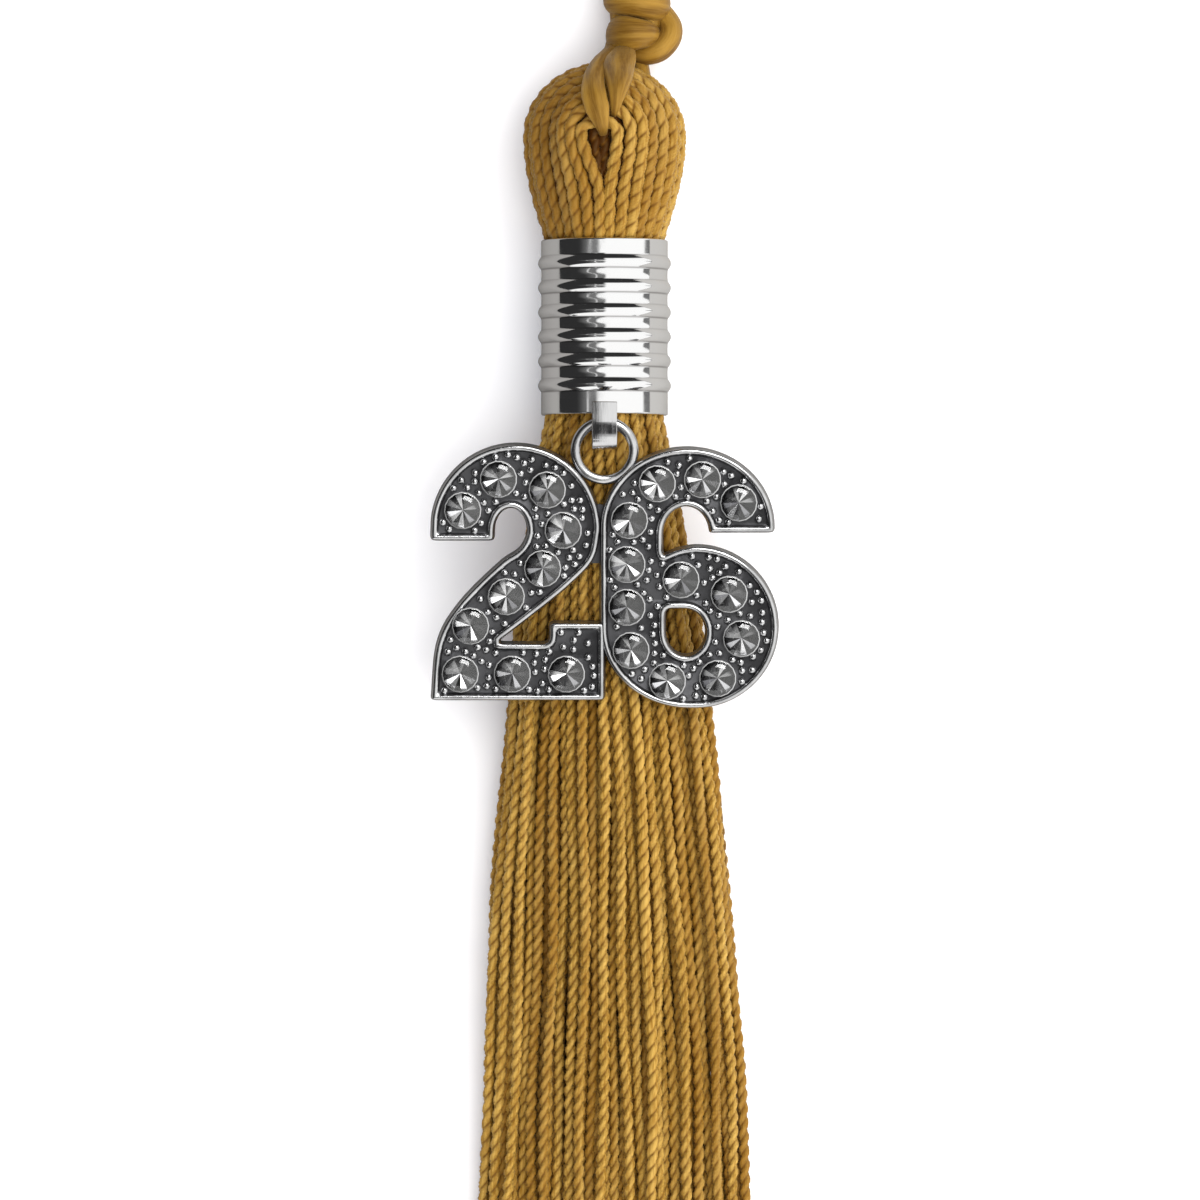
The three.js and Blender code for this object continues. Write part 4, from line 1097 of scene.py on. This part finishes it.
# %% Pellets
turn = full_turn(8)
levels = [
    level_ring(PELLET.radius * np.cos(level), PELLET.height * np.sin(level), turn)
    for level in np.radians([0, 35, 62])
]
dome = np.concatenate([*levels, [(0, 0, PELLET.height), (0, 0, -0.1)]])
index = np.arange(24).reshape(3, 8)
caps = np.concatenate([fan(index[2], 24), fan(index[0, ::-1], 25)])
centres = np.concatenate([pellets, np.full((len(pellets), 1), CHARM.field)], -1)
points = in_charm((centres[:, None] + dome).reshape(-1, 3))
faces = [repeated(part, len(pellets), len(dome)) for part in (band(index[:2], index[1:]), caps)]
recess = np.tile(np.repeat([0.45, 0.12, 0.0, 0.0, 0.9], [8, 8, 8, 1, 1]), len(pellets))
piece = put_mesh("pellets", points, faces, "number_charm", cast, "cast_metal", recess=recess)
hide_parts("charm")

# %% [markdown]
# ## Table and light
#
# The tassel lies on a white table. The light is a soft studio: white all round for the cloth, and one large
# softbox to the right. The chrome mirrors the room, so for mirror rays the room has a dark side on the
# left, the softbox overhead and to the right, and a bright table edge towards the viewer. To mirror rays
# the table itself is grey and darker on the left, a painted shadow. The table also glows faintly in blue,
# which keeps the tassel's shadow cool.

# %% Table
table_mesh = bpy.data.meshes.new("table")
table_mesh.from_pydata([(-2, -2, 0), (2, -2, 0), (2, 2, 0), (-2, 2, 0)], [], [(0, 1, 2, 3)])
table = bpy.data.objects.new("table", table_mesh)
scene.collection.objects.link(table)
shine = {"Roughness": 0.8, "Specular_IOR_Level": 0.0, "Emission_Color": (0.78, 0.84, 1.0, 1)}
white, tree = new_finish("white_table", **shine)
place = add_node("ShaderNodeTexCoord", {}, tree)["Object"]
paper = ranged(noise(place, 300.0, 2.0), 0.2, 0.8)
seen = mix_colour(paper, (0.93, 0.93, 0.945, 1), (0.955, 0.955, 0.965, 1))
# painted shadow: to mirror rays the table is grey, darker on the left, as if in the tassel's shadow
side = ranged(add_node("ShaderNodeSeparateXYZ", {0: place})["X"], -0.02, 0.02)
painted_shadow_in_chrome = mix_colour(side, (0.255, 0.25, 0.24, 1), (0.38, 0.375, 0.36, 1))
is_mirror = add_node("ShaderNodeLightPath", {}, tree)["Is Glossy Ray"]
# painted glow: the table gives off a faint blue light, except to mirror rays
painted_glow = calculated("MULTIPLY_ADD", is_mirror, -0.08, 0.08)
feed(white, Base_Color=mix_colour(is_mirror, seen, painted_shadow_in_chrome), Emission_Strength=painted_glow)
table_mesh.materials.append(white)
table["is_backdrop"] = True

# %% The room round the tassel
world = bpy.data.worlds.new("studio")
scene.world = world
world.use_nodes = True
tree = world.node_tree
direction = add_node("ShaderNodeTexCoord", {}, tree)["Generated"]
x, y, z = add_node("ShaderNodeSeparateXYZ", {0: direction})


def window(value, rise, fall):
    """1 between the rise and the fall, 0 outside. Both are given by the values where they begin and end."""
    return calculated("MULTIPLY", ranged(value, *rise), ranged(value, *fall))


# what the chrome mirrors: sideways is the angle from overhead, in radians, and y looks along the tassel
uneven = calculated("MULTIPLY_ADD", noise(direction, 2.6, 2.0), 0.24, -0.12)
sideways = calculated("ADD", calculated("ARCTAN2", x, z), uneven)
leaning = ranged(calculated("ABSOLUTE", y), 0.02, 0.11, 0.0, 0.27)
sideways = calculated("SUBTRACT", sideways, leaning)
softbox = window(sideways, (-0.34, -0.2), (1.38, 1.28))
softbox = calculated("MULTIPLY", softbox, ranged(y, 0.75, 0.6))
front = ranged(calculated("MULTIPLY_ADD", x, -0.16, y), -0.62, -0.7)
strip = calculated("MULTIPLY", window(sideways, (-0.6, -0.56), (-0.5, -0.54)), 0.6)
glow = calculated("MAXIMUM", ranged(sideways, -0.94, -0.49, 0.0, 0.14), strip)
glow = calculated("MULTIPLY", glow, ranged(y, 0.45, 0.2))
bright = calculated("MAXIMUM", calculated("MAXIMUM", softbox, front), glow)
mirrored = mix_colour(bright, (0.03, 0.03, 0.03, 1), (1.12, 1.12, 1.1, 1))
# what lights the cloth: grey all round and white overhead, a little to the right
towards_lamp = {0: direction, 1: (0.52, -0.3, 0.8)}
overhead = add_node("ShaderNodeVectorMath", towards_lamp, operation="DOT_PRODUCT")["Value"]
overhead = ranged(overhead, 0.0, 1.0)
cloth_light = mix_colour(overhead, (0.3, 0.3, 0.33, 1), (2.15, 2.12, 2.08, 1))
is_mirror = add_node("ShaderNodeLightPath", {}, tree)["Is Glossy Ray"]
light = mix_colour(is_mirror, cloth_light, mirrored)
tree.links.new(light, tree.nodes["Background"].inputs["Color"])
print("room:", len(tree.nodes), "nodes")

# %% Lamps


def area_light(name, place, aim, size, watts):
    """A square softbox at a place, aimed at another one."""
    lamp = bpy.data.objects.new(name, bpy.data.lights.new(name, "AREA"))
    lamp.data.size = size
    lamp.data.energy = watts
    lamp.location = Vector(in_frame(place))
    aimed = Vector(in_frame(aim)) - lamp.location
    lamp.rotation_euler = aimed.to_track_quat("-Z", "Y").to_euler()
    scene.collection.objects.link(lamp)
    print(f"{name}: {watts} W from {aimed.length:.2f} m")
    return lamp


key = area_light("softbox", (170, 10, 430), (0, -10, 0), 0.4, 1.0)
key.visible_glossy = False
charm_light = area_light("charm_light", (90, 190, 330), (0, -15, 14), 0.2, 0.85)
charm_light.visible_diffuse = False
charm_only = bpy.data.collections.new("lit_by_charm_light")
for piece in scene.objects:
    if piece.name.startswith(("charm_", "stones", "pellets")) and piece.type == "MESH":
        charm_only.objects.link(piece)
charm_light.light_linking.receiver_collection = charm_only
scene.view_settings.view_transform = "Standard"

# %% [markdown]
# ## Sizes of the visual model and the solids
#
# The boxes round the solids and round the visual model are printed side by side. The visual
# model may stand only a little proud of the solids.

# %% Sizes
box_of_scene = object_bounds()
sizes = {
    "cad": [list(corner) for corner in box_of_solids],
    "visual": [list(corner) for corner in box_of_scene],
}
for label, (low, high) in sizes.items():
    print(label, [round(v * 1000, 1) for v in low], [round(v * 1000, 1) for v in high])
